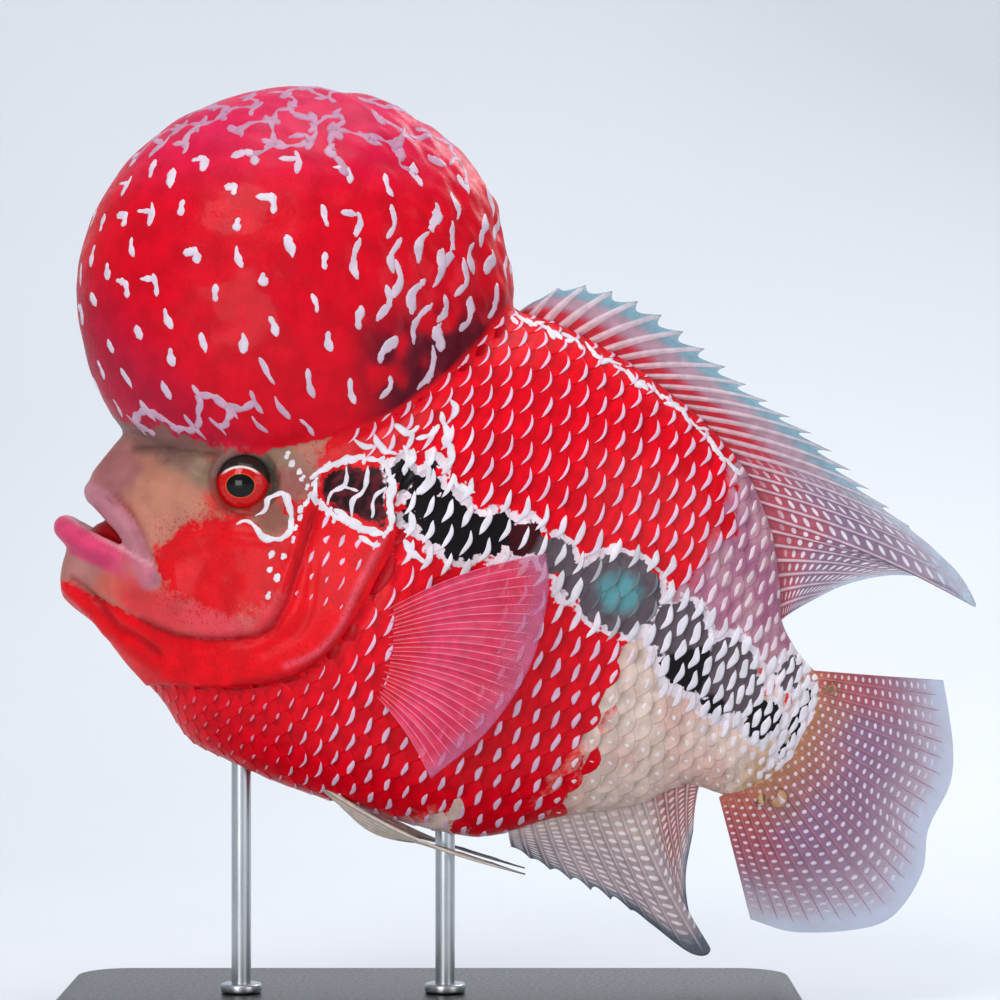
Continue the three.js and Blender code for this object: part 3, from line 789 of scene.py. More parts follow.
def make_skin():
    """One skin over body, hump, lips and eye rims. SKIN_STEP keeps it under 200,000 triangles."""
    body = body_blank()
    cut(body, mouth_blank())
    parts = [
        body, hump_blank(),
        tube_blank("upper_lip_blank", UPPER_LIP, upper_lip_radius),
        tube_blank("lower_lip_blank", LOWER_LIP, lower_lip_radius),
        tongue_blank(), *[rim_blank(side) for side in SIDES],
    ]
    for side in SIDES:
        cut(body, ball_blank("socket_blank", EYE_RADIUS - 0.2, side))
    skin = join(parts, "skin")
    apply_modifier(skin, "REMESH", mode="VOXEL", voxel_size=SKIN_STEP * MM, use_smooth_shade=True)
    apply_modifier(skin, "SMOOTH", factor=0.5, iterations=4)
    soften_mouth(skin)
    fold_skin(skin)
    points = to_body(vertices_of(skin))
    s, _y, h = points.T
    on_hump = smoothly(0.6, 2.2, outside_body(points)) * (h > 20) * (s < 100)
    opercle_gap = -outline_gap(OPERCLE_PATCH, np.column_stack((s, h)))
    add_number(skin, "hump", on_hump)
    add_number(skin, "opercle_gap", np.where(on_hump > 0.4, 9, opercle_gap))
    paint, pale, pale_paint = skin_colours(points, on_hump)
    add_colour(skin, "paint", paint)
    add_marks(skin, s, np.where(on_hump > 0.3, 200, h), pale, pale_paint)
    return skin


# Nodes of the materials


def group(name, inputs, outputs):
    """An empty shader node group with named sockets."""
    made = bpy.data.node_groups.new(name, "ShaderNodeTree")
    for label, kind, value in inputs:
        socket = made.interface.new_socket(label, in_out="INPUT", socket_type=kind)
        if value is not None:
            socket.default_value = value
    for label, kind in outputs:
        made.interface.new_socket(label, in_out="OUTPUT", socket_type=kind)
    made.nodes.new("NodeGroupInput")
    made.nodes.new("NodeGroupOutput")
    return made


class Wiring:
    """Short hands for adding nodes to one tree and joining them up."""

    def __init__(self, tree):
        self.tree = tree

    def node(self, kind, inputs=None, **values):
        made = self.tree.nodes.new(kind)
        for name, value in values.items():
            setattr(made, name, value)
        for key, value in (inputs or {}).items():
            self.set(made.inputs[key], value)
        return made

    def set(self, socket, value):
        if isinstance(value, bpy.types.NodeSocket):
            self.tree.links.new(value, socket)
        else:
            socket.default_value = value

    def math(self, operation, a, b=0.0, c=0.0, clamp=False):
        made = self.node("ShaderNodeMath", {0: a, 1: b, 2: c}, operation=operation, use_clamp=clamp)
        return made.outputs[0]

    def times(self, a, b):
        return self.math("MULTIPLY", a, b)

    def plus(self, a, b):
        return self.math("ADD", a, b)

    def minus(self, a, b):
        return self.math("SUBTRACT", a, b)

    def length(self, a, b):
        """The distance that two steps at right angles make."""
        return self.math("SQRT", self.plus(self.math("POWER", a, 2.0), self.math("POWER", b, 2.0)))

    def mix(self, share, a, b):
        made = self.node("ShaderNodeMix", data_type="RGBA")
        self.set(made.inputs[0], share)
        self.set(made.inputs[6], a)
        self.set(made.inputs[7], b)
        return made.outputs[2]

    def ramp(self, value, low, high, start=0.0, end=1.0):
        made = self.node("ShaderNodeMapRange", {0: value, 1: low, 2: high, 3: start, 4: end})
        made.interpolation_type = "SMOOTHSTEP"
        return made.outputs[0]

    def noise(self, vector, scale, detail=2.0):
        made = self.node("ShaderNodeTexNoise", {"Vector": vector, "Scale": scale, "Detail": detail})
        return made.outputs["Fac"]

    def attribute(self, name, output="Fac"):
        return self.node("ShaderNodeAttribute", attribute_name=name).outputs[output]

    def place(self):
        return self.node("ShaderNodeTexCoord").outputs["Object"]

    def call(self, tree, **inputs):
        made = self.node("ShaderNodeGroup", node_tree=tree)
        for key, value in inputs.items():
            self.set(made.inputs[key.replace("_", " ")], value)
        return made

    def ends(self):
        """A group's own input and output nodes."""
        return [next(n for n in self.tree.nodes if n.type == "GROUP_" + end) for end in ("INPUT", "OUTPUT")]


def rgba(colour):
    colour = tint(colour) if isinstance(colour, str) else colour
    return (*[float(c) for c in colour], 1.0)


def material(name):
    """A material with a Principled shader, and the wiring of its tree."""
    made = bpy.data.materials.new(name)
    made.use_nodes = True
    made.node_tree.nodes.clear()
    wires = Wiring(made.node_tree)
    shader = wires.node("ShaderNodeBsdfPrincipled")
    out = wires.node("ShaderNodeOutputMaterial")
    made.node_tree.links.new(shader.outputs[0], out.inputs[0])
    return made, wires, shader


def gloss(shader, specular, coat, coat_roughness):
    """How strongly a finish shines and how thick and sharp its wet coat is."""
    shader.inputs["Specular IOR Level"].default_value = specular
    shader.inputs["Coat Weight"].default_value = coat
    shader.inputs["Coat Roughness"].default_value = coat_roughness


def rough_and_bumped(w, shader, grain, smooth, rough, strength, depth, height):
    """Roughness that follows a grain, and a bump of a depth in millimetres."""
    w.set(shader.inputs["Roughness"], w.ramp(grain, 0.3, 0.7, smooth, rough))
    bump = w.node("ShaderNodeBump", {"Strength": strength, "Distance": depth * MM, "Height": height})
    w.set(shader.inputs["Normal"], bump.outputs[0])


def mottle_group():
    """Uneven brightness and a fine grain, as on wet skin."""
    made = group("mottle", [
        ("Colour", "NodeSocketColor", (1, 1, 1, 1)), ("Place", "NodeSocketVector", None),
        ("Depth", "NodeSocketFloat", 0.2), ("Size", "NodeSocketFloat", 200.0)],
        [("Colour", "NodeSocketColor"), ("Grain", "NodeSocketFloat")])
    w = Wiring(made)
    start, end = w.ends()
    wide = w.noise(start.outputs["Place"], start.outputs["Size"], 3.0)
    fine = w.noise(start.outputs["Place"], w.times(start.outputs["Size"], 6.0), 2.0)
    depth = start.outputs["Depth"]
    centred = w.times(w.minus(w.ramp(wide, 0.3, 0.7), 0.5), 2.0)
    value = w.math("MULTIPLY_ADD", centred, depth, 1.0)
    varied = w.node("ShaderNodeHueSaturation", {"Value": value, "Color": start.outputs["Colour"]})
    w.set(end.inputs["Colour"], varied.outputs[0])
    w.set(end.inputs["Grain"], fine)
    return made


def marking_group():
    """Red ground, pale areas and dark patches with a broken pearl border, with crisp ragged edges."""
    made = group("markings", [
        ("Ground", "NodeSocketColor", (1, 0, 0, 1)), ("Pale Colour", "NodeSocketColor", (1, 1, 1, 1)),
        ("Pale", "NodeSocketFloat", 0.0), ("Dark Colour", "NodeSocketColor", (0, 0, 0, 1)),
        ("Dark Gap", "NodeSocketFloat", 9.0), ("Ragged", "NodeSocketFloat", 1.0),
        ("Place", "NodeSocketVector", None)],
        [("Colour", "NodeSocketColor")])
    w = Wiring(made)
    start, end = w.ends()
    given = start.outputs
    broad = w.minus(w.noise(given["Place"], 330.0, 3.0), 0.5)
    fine = w.minus(w.noise(given["Place"], 800.0, 2.0), 0.5)
    stray = w.times(w.math("MULTIPLY_ADD", broad, 9.0, w.times(fine, 6.0)), given["Ragged"])
    share = w.ramp(w.plus(given["Pale"], stray), -1.4, 1.4)
    colour = w.mix(share, given["Ground"], given["Pale Colour"])
    gap = w.plus(given["Dark Gap"], w.math("MULTIPLY_ADD", broad, 4.0, w.times(fine, 1.4)))
    broken = w.ramp(w.noise(given["Place"], 240.0, 2.0), 0.34, 0.40)
    border = w.times(w.ramp(gap, 2.3, 1.9), broken)
    colour = w.mix(w.times(border, 0.92), colour, rgba("DCD2DC"))
    colour = w.mix(w.ramp(gap, 0.35, 0.05), colour, given["Dark Colour"])
    w.set(end.inputs["Colour"], colour)
    return made


def marked_colour(w, place, ragged):
    """The markings of the skin, read from a mesh's own attributes."""
    return w.call(
        markings, Ground=w.attribute("paint", "Color"), Pale_Colour=w.attribute("pale_paint", "Color"),
        Pale=w.attribute("pale"), Dark_Colour=w.attribute("dark_paint", "Color"),
        Dark_Gap=w.attribute("dark_gap"), Ragged=ragged, Place=place).outputs["Colour"]


def skin_material():
    """Bare skin, with red specks at the edges of its pale areas and the gill cover's dark patch."""
    made, w, shader = material("wet_skin")
    place = w.place()
    base = w.call(mottle, Colour=marked_colour(w, place, 0.8), Place=place, Depth=0.12, Size=160.0)
    colour = base.outputs["Colour"]
    spots = w.noise(place, 520.0, 3.0)
    specks = w.ramp(w.noise(place, 1300.0, 3.0), 0.57, 0.62)
    near_red = w.ramp(w.plus(w.attribute("pale"), w.times(spots, 6.0)), 11.0, 5.0)
    near_red = w.times(near_red, w.minus(1.0, w.attribute("hump")))
    near_red = w.times(near_red, w.ramp(w.attribute("dark_gap"), 2.0, 4.0))
    colour = w.mix(w.times(w.times(specks, near_red), 0.55), colour, rgba("B01014"))
    stray = w.times(w.minus(spots, 0.5), 5.0)
    dark = w.ramp(w.plus(w.attribute("opercle_gap"), stray), 0.7, -0.5)
    dark_colour = w.mix(w.ramp(w.noise(place, 300.0), 0.4, 0.6), rgba("1E070C"), rgba("541420"))
    w.set(shader.inputs["Base Color"], w.mix(dark, colour, dark_colour))
    grain = base.outputs["Grain"]
    height = w.plus(grain, w.times(w.noise(place, 700.0, 2.0), 0.7))
    rough_and_bumped(w, shader, grain, 0.3, 0.46, strength=0.3, depth=0.3, height=height)
    gloss(shader, specular=0.09, coat=0.06, coat_roughness=0.1)
    return made


def wet_material(name, depth, size, coat, marked):
    """Painted scales or pearl marks under a wet gloss."""
    made, w, shader = material(name)
    place = w.place()
    colour = w.attribute("paint", "Color")
    if marked:
        # Marked scales are darkened by their painted shade towards the root and by a random tone.
        tone = {"Value": w.attribute("tone"), "Color": marked_colour(w, place, 0.3)}
        colour = w.node("ShaderNodeHueSaturation", tone).outputs[0]
    base = w.call(mottle, Colour=colour, Place=place, Depth=depth, Size=size)
    w.set(shader.inputs["Base Color"], base.outputs["Colour"])
    grain = base.outputs["Grain"]
    rough_and_bumped(w, shader, grain, 0.3, 0.44, strength=0.12, depth=0.2, height=grain)
    gloss(shader, specular=0.09, coat=coat, coat_roughness=0.16)
    return made


# Scales: thin overlapping plates along the lie of the body. Girth is the way round it from its
# widest line, in millimetres, upwards.

ROW_STEPS = 260
AROUND_STEPS = 401
TURN_STEPS = 600
MAX_GIRTH = 95.0
table_s = np.linspace(2.5, 203.5, ROW_STEPS)


def girth_table():
    """Points on one side at even steps of girth from the widest line, for each place along."""
    turn = np.linspace(math.pi, 0, TURN_STEPS)
    rise = signed_power(np.cos(turn), 2 / ROUNDNESS)
    out = np.abs(np.sin(turn)) ** (2 / ROUNDNESS)
    wanted = np.linspace(-MAX_GIRTH, MAX_GIRTH, AROUND_STEPS)
    ys, hs, ends = [], [], []
    for s in table_s:
        h = level(s) + np.where(rise > 0, back(s) - level(s), level(s) - belly(s)) * rise
        y = half_width(s) * out
        run = np.concatenate(([0], np.cumsum(np.hypot(np.diff(y), np.diff(h)))))
        run -= run[TURN_STEPS // 2]
        ys.append(np.interp(wanted, run, y))
        hs.append(np.interp(wanted, run, h))
        ends.append((run[0], run[-1]))
    return np.array(ys), np.array(hs), np.array(ends)


girth_y, girth_h, girth_ends = girth_table()


def on_body(s, girth, side):
    """Body-frame points at places along and round the body."""
    i = np.clip((s - table_s[0]) / (table_s[1] - table_s[0]), 0, ROW_STEPS - 1.001)
    j = np.clip((girth + MAX_GIRTH) / (2 * MAX_GIRTH) * (AROUND_STEPS - 1), 0, AROUND_STEPS - 1.001)
    i0, j0 = i.astype(int), j.astype(int)
    fi, fj = i - i0, j - j0

    def read(table):
        low = table[i0, j0] * (1 - fj) + table[i0, j0 + 1] * fj
        high = table[i0 + 1, j0] * (1 - fj) + table[i0 + 1, j0 + 1] * fj
        return low * (1 - fi) + high * fi

    return np.column_stack((s, side * read(girth_y) + swing(s), read(girth_h)))


def girth_end(s, top):
    return np.interp(s, table_s, girth_ends[:, 1 if top else 0])


# How far apart scales stand along the body and round it, at places back from the snout
scale_length = profile([
    (16, 2.4), (30, 2.9), (60, 3.7), (80, 4.7), (100, 5.2), (130, 5.1), (160, 4.2), (186, 3.3), (204, 2.8),
])
scale_height = profile([
    (16, 3.2), (30, 4.0), (60, 5.2), (80, 6.5), (100, 7.0), (130, 6.9), (160, 5.7), (186, 4.5), (204, 4),
])
FIRST_COLUMN = 16.0
LAST_COLUMN = 201
MOST_ROWS = 30
ROW_SHIFT = 0.46
ROW_PITCH = 0.98
USUAL_LENGTH = 5.2
USUAL_HEIGHT = 6.9


def scale_roots():
    """Where scales sit: columns back along the body and rows round it."""
    columns = [FIRST_COLUMN]
    while columns[-1] < LAST_COLUMN:
        columns.append(columns[-1] + float(scale_length(columns[-1])))
    columns = np.array(columns)
    roots = []
    for row in range(-MOST_ROWS, MOST_ROWS + 1):
        shift = (row * ROW_SHIFT) % 1
        s = columns[:-1] + shift * np.diff(columns)
        roots.append(np.column_stack((s, row * scale_height(s) * ROW_PITCH)))
    roots = np.vstack(roots)
    s, girth = roots.T
    inset = 0.35 * scale_height(s)
    fits = (girth < girth_end(s, True) - inset) & (girth > girth_end(s, False) + inset)
    return roots[fits]


# A scale's grid from its root to its free edge and across, how many lengths of it lie under the
# scales before it, and how far the corners of its free edge are swept forward
ALONG = np.array([0, 0.42, 0.62, 0.8, 0.93, 1.0])
ACROSS = np.linspace(-1, 1, 9)
OVERLAP = 1.8
EDGE_SWEEP = 1.1
SCALE_THICKNESS = 0.22


def plate_faces(rows, columns, first):
    """Faces of a closed thin plate: top grid, bottom grid and rim."""
    n = rows * columns
    faces = []
    for r in range(rows - 1):
        for c in range(columns - 1):
            a = first + r * columns + c
            faces.append((a, a + 1, a + columns + 1, a + columns))
            faces.append((n + a, n + a + columns, n + a + columns + 1, n + a + 1))
    rim = [first + c for c in range(columns)]
    rim += [first + r * columns + columns - 1 for r in range(1, rows)]
    rim += [first + (rows - 1) * columns + c for c in range(columns - 2, -1, -1)]
    rim += [first + r * columns for r in range(rows - 2, 0, -1)]
    for a, b in zip(rim, rim[1:] + rim[:1]):
        faces.append((a, n + a, n + b, b))
    return faces


ROOT_SHARE = 0.7


class Coat:
    """Gathers many small plates into one mesh.

    Plates that carry the skin's markings also give their points' places in the body frame, their painted
    shade and tone (each scale painted darker towards its root, where the scale ahead of it would shade it,
    times a random tone), and their root's place with a stray of its own.
    """

    def __init__(self, name):
        self.name = name
        self.points, self.faces, self.colours, self.maps = [], [], [], []
        self.places, self.tones, self.roots = [], [], []
        self.count = 0

    def add(self, top, bottom, rows, columns, colours, uv, places=None, tones=None, roots=None):
        self.faces += plate_faces(rows, columns, self.count)
        self.count += len(top) + len(bottom)
        self.points += [top, bottom]
        self.colours += [colours, colours]
        self.maps += [uv, uv]
        if places is not None:
            self.places += [places, places]
            self.tones += [tones, tones]
            self.roots += [roots, roots]

    def finish(self, finish_material, slot):
        made = link(self.name, np.vstack(self.points), self.faces)
        add_colour(made, "paint", np.vstack(self.colours))
        if self.places:
            s, _y, h = np.vstack(self.places).T
            root_s, root_h, stray = np.vstack(self.roots).T
            pale = (1 - ROOT_SHARE) * pale_reach(s, h) + ROOT_SHARE * pale_reach(root_s, root_h) + stray
            add_marks(made, s, h, pale, pale_colours(s, h))
            add_number(made, "tone", np.concatenate(self.tones))
        add_map(made, "OFBake", np.vstack(self.maps))
        face_outwards(made)
        dress(made, finish_material, slot)
        return made


def face_outwards(obj):
    """Turns every face of a closed shell outwards."""
    alone(obj)
    bpy.ops.object.mode_set(mode="EDIT")
    bpy.ops.mesh.select_all(action="SELECT")
    bpy.ops.mesh.normals_make_consistent(inside=False)
    bpy.ops.object.mode_set(mode="OBJECT")


# The map of the coat: the left flank unwrapped in its lower half and the right one in its upper
PATCH_SIZE = 0.003
MAPPED_LENGTH = 210
MAP_MARGIN = 0.02
GIRTH_SPAN = 0.23
HEIGHT_SPAN = 0.2


def map_place(s, side, reach, span):
    """A root's place on the map, from its way back and its way up."""
    u = MAP_MARGIN + (1 - 2 * MAP_MARGIN) * s / MAPPED_LENGTH
    return u, 0.25 + 0.5 * (side > 0) + span * reach / MAX_GIRTH


def bake_patch(root, u, v):
    """Map places of one small plate: a patch at its root's place, with u from 0 to 1 and v from -1 to 1."""
    return np.column_stack((root[0] + (u - 0.5) * PATCH_SIZE, root[1] + 0.5 * v * PATCH_SIZE))


ABOVE_SKIN = 5.0
BELOW_SKIN = 6.0


def settle(tree, points, normals):
    """Drops world points along their normals onto the skin."""
    out = np.empty_like(points)
    reach = (ABOVE_SKIN + BELOW_SKIN) * MM
    for k, (point, normal) in enumerate(zip(points, normals)):
        hit = tree.ray_cast(Vector(point + normal * ABOVE_SKIN * MM), Vector(-normal), reach)
        out[k] = hit[0] if hit[0] is not None else point
    return out


# Ahead of TAIL_ROOT a place rises at most MOST_LIFT from the plain body. Normals are read at
# least RIDGE_INSET short of the ridges of back and belly, where they would be undefined.
TAIL_ROOT = 120.0
MOST_LIFT = 0.95
RIDGE_INSET = 0.6


def lay(tree, s, girth, side):
    """Places on the skin, their outward directions and their body-frame places.

    Where the hump or a gill cover stands over the body, the places stay under it.
    """
    bare = on_body(s, girth, side)
    inner = np.clip(girth, girth_end(s, False) + RIDGE_INSET, girth_end(s, True) - RIDGE_INSET)
    ahead = on_body(s + 0.5, inner, side) - on_body(s - 0.5, inner, side)
    round_it = on_body(s, inner + 0.5, side) - on_body(s, inner - 0.5, side)
    out = np.cross(ahead, round_it)
    out *= np.where(out[:, 1] * side < 0, -1, 1)[:, None]
    out /= np.linalg.norm(out, axis=1)[:, None]
    world = to_world(bare)
    tip = to_world(bare + out) - world
    tip /= np.linalg.norm(tip, axis=1)[:, None]
    offset = settle(tree, world, tip) - world
    far = np.linalg.norm(offset, axis=1)
    keep = np.where(s < TAIL_ROOT, np.minimum(1, MOST_LIFT * MM / np.maximum(far, 1e-9)), 1)
    return world + offset * keep[:, None], tip, bare


def free_edge(s0, long, high, girth_offset):
    """Where a scale's rear edge runs, as a shallow arc."""
    return s0 + 0.5 * long - EDGE_SWEEP * long * (girth_offset / high) ** 2


NAPE_S, NAPE_H = 56.0, 43.0
ROOT_REACH = 3.6
STRAY = 5.0


def make_scales(skin):
    """Scales and their pearl edges on both flanks, and pearl dots on the bare gill covers."""
    tree = BVHTree.FromObject(skin, bpy.context.evaluated_depsgraph_get())
    roots = scale_roots()
    a, b = (grid.ravel() for grid in np.meshgrid(ALONG, ACROSS, indexing="ij"))
    coats = []
    for side, word in zip(SIDES, SIDE_WORDS):
        scales = Coat("scales_" + word)
        pearls = Coat("pearl_edges_" + word)
        places = on_body(roots[:, 0], roots[:, 1], side)
        flat = places[:, [0, 2]]
        covered = inside(AHEAD_OF_GILL, flat) & ((flat[:, 1] < NAPE_H) | (flat[:, 0] < NAPE_S))
        in_cheek = inside(AHEAD_OF_CHEEK, flat)
        gill_gap = gap_to_line(GILL_EDGE, flat)
        dark_gap = -outline_gap(OPERCLE_PATCH, flat)
        for (s0, girth0), place, hidden, cheek, edge_gap, dark in zip(
                roots, places, covered, in_cheek, gill_gap, dark_gap):
            jitter = dice.uniform(-1, 1, 4)
            long = float(scale_length(s0))
            high = float(scale_height(s0))
            if tree.find_nearest(Vector(to_world([place])[0]))[3] > ROOT_REACH * MM:
                continue
            if hidden:
                if not cheek and edge_gap > 2.5 and dark > 3.5 and s0 > 58 and place[2] > -1:
                    add_pearl(pearls, tree, s0, girth0, side, long, high, place, 0.02, jitter, True)
                continue
            if edge_gap < 1.0 and place[2] < NAPE_H:
                continue
            girth = girth0 + b * ROW_PITCH * high
            edge = free_edge(s0, long, high, girth - girth0)
            root = s0 + (0.5 - OVERLAP) * long
            s = root + a * (edge - root)
            size = long / USUAL_LENGTH
            rise = (0.36 + 0.04 * jitter[1]) * a ** 1.4 * (1 - 0.72 * b * b)
            lift = size * (-0.12 + rise + 0.03 * jitter[2])
            base, out, bare = lay(tree, s, girth, side)
            top = base + out * (lift * MM)[:, None]
            bottom = top - out * SCALE_THICKNESS * MM
            # Painted shade: each scale is darker towards its root, where the scale ahead of it would shade
            # it; the jitter adds a random tone.
            tone = (0.58 + 0.42 * smoothly(0.42, 0.66, a)) * (1 + 0.08 * jitter[3])
            red = np.tile(RED, (len(s), 1))
            root_place = np.tile([place[0], place[2], STRAY * jitter[0]], (len(s), 1))
            uv = bake_patch(map_place(s0, side, girth0, GIRTH_SPAN), a, b)
            scales.add(top, bottom, len(ALONG), len(ACROSS), red, uv, bare, tone, root_place)
            add_pearl(pearls, tree, s0, girth0, side, long, high, place, 0.25 * size, jitter, False)
        coats.append((scales, pearls))
    return tree, coats


PEARL_ALONG = np.array([0, 0.3, 0.7, 1.0])
PEARL_ACROSS = np.linspace(-1, 1, 9)
PEARL_THICKNESS = 0.3


def tinted(colour, code, share):
    """One colour moved towards another by a share."""
    return colour + (tint(code) - colour) * share


def pearl_size(s, h, jitter, on_cover):
    """Half the height of a scale's pearl mark, its width, how oval it is and its colour."""
    gap = float(patch_gap(np.array([s]), np.array([h]))[0][0])
    near = float(smoothly(8, 1, gap))
    eye_spot = float(smoothly(11, 8, math.hypot(s - OCELLUS[0], h - OCELLUS[1])))
    low = float(smoothly(24, 8, h) * smoothly(78, 92, s))
    cream = float(smoothly(139, 149, s) * smoothly(36, 26, h))
    dusky = float(smoothly(-4, 6, s - dusky_start(h)) * smoothly(30, 38, h))
    chest = float(smoothly(88, 70, s) * smoothly(8, -4, h))
    faint = float(smoothly(86, 52, s) * smoothly(8, -8, h))
    away = 1 - near
    pale = max(cream, dusky) * away
    tall = 3.5 - 1.0 * low - 2.0 * cream * away - 1.2 * dusky * away - 1.9 * chest - 0.3 * faint
    wide = 0.85 + 0.3 * float(smoothly(105, 140, s)) + 0.4 * low - 0.35 * cream * away - 0.3 * chest
    wide = wide + (0.8 + 0.4 * jitter[2]) * near
    if on_cover:
        high_up = float(smoothly(4, 22, h))
        tall, wide = 1.2 + 0.9 * high_up + 0.5 * jitter[2], 0.6 + 0.5 * high_up
    tall = (tall + 0.35 * jitter[0]) * min(1.0, float(scale_height(s)) / USUAL_HEIGHT + 0.12)
    wide = wide + 0.2 * jitter[1]
    wide = wide * (1 - 0.62 * eye_spot)
    colour = tinted(tint("D8B2CC"), "DDD8E0", near)
    colour = tinted(colour, "E6DAD8", cream * away)
    colour = tinted(colour, "DCC6CC", dusky * away)
    colour = tinted(colour, "CC3048", 0.8 * faint)
    return tall, wide, pale, tinted(colour, "36464C", 0.85 * eye_spot)


def add_pearl(pearls, tree, s0, girth0, side, long, high, place, lift, jitter, on_cover):
    """The pale mark near a scale's free edge: a crescent, or an oval dot further back."""
    tall, wide, oval, colour = pearl_size(place[0], place[2], jitter, on_cover)
    a, b = (grid.ravel() for grid in np.meshgrid(PEARL_ALONG, PEARL_ACROSS, indexing="ij"))
    thin = (1 - 0.97 * b * b) ** (0.8 - 0.25 * oval)
    rise = b * tall
    crescent = free_edge(s0, long, high, rise) - 0.12 - wide * thin * (1 - a)
    dot = s0 + 0.02 * long + wide * thin * (a - 0.5)
    bend = 0.12 * wide * np.sin(3.1 * b + 6 * jitter[3]) * thin
    s = crescent + (dot - crescent) * oval + bend
    base, out, _bare = lay(tree, s, girth0 + rise, side)
    bulge = (0.1 - 0.06 * oval) * np.sin(math.pi * (0.08 + 0.84 * a)) * thin
    height = lift * (1 - 1.1 * (rise / high) ** 2) * (1 - 0.42 * oval) + bulge
    top = base + out * (height * MM)[:, None]
    bottom = top - out * PEARL_THICKNESS * MM
    colours = np.tile(colour * (1 + 0.06 * jitter[3]), (len(s), 1))
    uv = bake_patch(map_place(s0, side, girth0, GIRTH_SPAN), a, b)
    pearls.add(top, bottom, len(PEARL_ALONG), len(PEARL_ACROSS), colours, uv)


# Pearl strokes: raised pale marks drawn on bare skin

STROKE_STEPS = 9
STROKE_ACROSS = np.linspace(-1, 1, 5)
STROKE_THICKNESS = 0.25
STEPS_A_MM = 1.6
WAVY_FROM = 5
RAY_START = 9
RAY_REACH = 30
PEARL_WHITE = tint("D8D3DB")


def add_stroke(
        coat, centres, normals, half_width, colour, root_uv, phase=0.0, blunt=0.5, raised=0.0, waist=0.0):
    """A raised mark along a line of world points on the skin.

    Blunt rounds its ends off, raised lifts it off the skin in millimetres, and waist makes it
    thicker towards its ends.
    """
    ahead = np.gradient(centres, axis=0)
    ahead /= np.linalg.norm(ahead, axis=1)[:, None]
    across = np.cross(normals, ahead)
    steps = len(centres)
    t = np.linspace(0, 1, steps)
    wide = half_width * np.maximum(0.06, 1 - np.abs(2 * t - 1) ** 2.6) ** blunt
    uneven = 0.24 * np.sin(0.5 * steps * t + phase) + 0.14 * np.sin(1.3 * steps * t + 2 * phase)
    wide = wide * (1 + uneven + waist * ((2 * t - 1) ** 2 - 0.4))
    points = []
    for b in STROKE_ACROSS:
        rise = raised - 0.08 + 0.17 * math.sqrt(1 - 0.9 * b * b)
        points.append(centres + across * (wide * b * MM)[:, None] + normals * rise * MM)
    top = np.stack(points, axis=1).reshape(-1, 3)
    sunk = np.repeat(normals, len(STROKE_ACROSS), axis=0) * STROKE_THICKNESS * MM
    tt, bb = (grid.ravel() for grid in np.meshgrid(t, STROKE_ACROSS, indexing="ij"))
    colours = np.tile(colour, (len(top), 1))
    coat.add(top, top - sunk, steps, len(STROKE_ACROSS), colours, bake_patch(root_uv, tt, bb))


def flank_stroke(coat, tree, line, side, half_width, colour, phase=0.0, blunt=0.5):
    """A pearl stroke through (s, h) places on one flank, which wavers where it is long."""
    long = sum(math.dist(a, b) for a, b in zip(line[:-1], line[1:]))
    flat = smooth_line(line, max(STROKE_STEPS, int(long * STEPS_A_MM)))
    if long > WAVY_FROM:
        sway = wander(*flat.T, 4.6, 2 + phase), wander(*flat.T, 5.2, 5 + phase)
        flat = flat + 0.5 * np.column_stack(sway)
    middle = np.mean(flat, axis=0)[None, :]
    on_cover = inside(AHEAD_OF_GILL, middle)[0] and (middle[0, 1] < NAPE_H or middle[0, 0] < NAPE_S)
    outside = side * (side_at(flat[:, 0], flat[:, 1]) + RAY_START) + swing(flat[:, 0])
    start = to_world(np.column_stack((flat[:, 0], outside, flat[:, 1])))
    aim = Vector((0, -side, 0))
    centres, normals = [], []
    for point in start:
        hit = tree.ray_cast(Vector(point), aim, RAY_REACH * MM)
        if hit[0] is None:
            return
        centres.append(hit[0])
        normals.append(hit[1])
    root = map_place(line[0][0], side, line[0][1], HEIGHT_SPAN)
    raised = 0.0 if on_cover else SCALE_THICKNESS
    add_stroke(coat, np.array(centres), np.array(normals), half_width, colour, root, phase, blunt, raised)


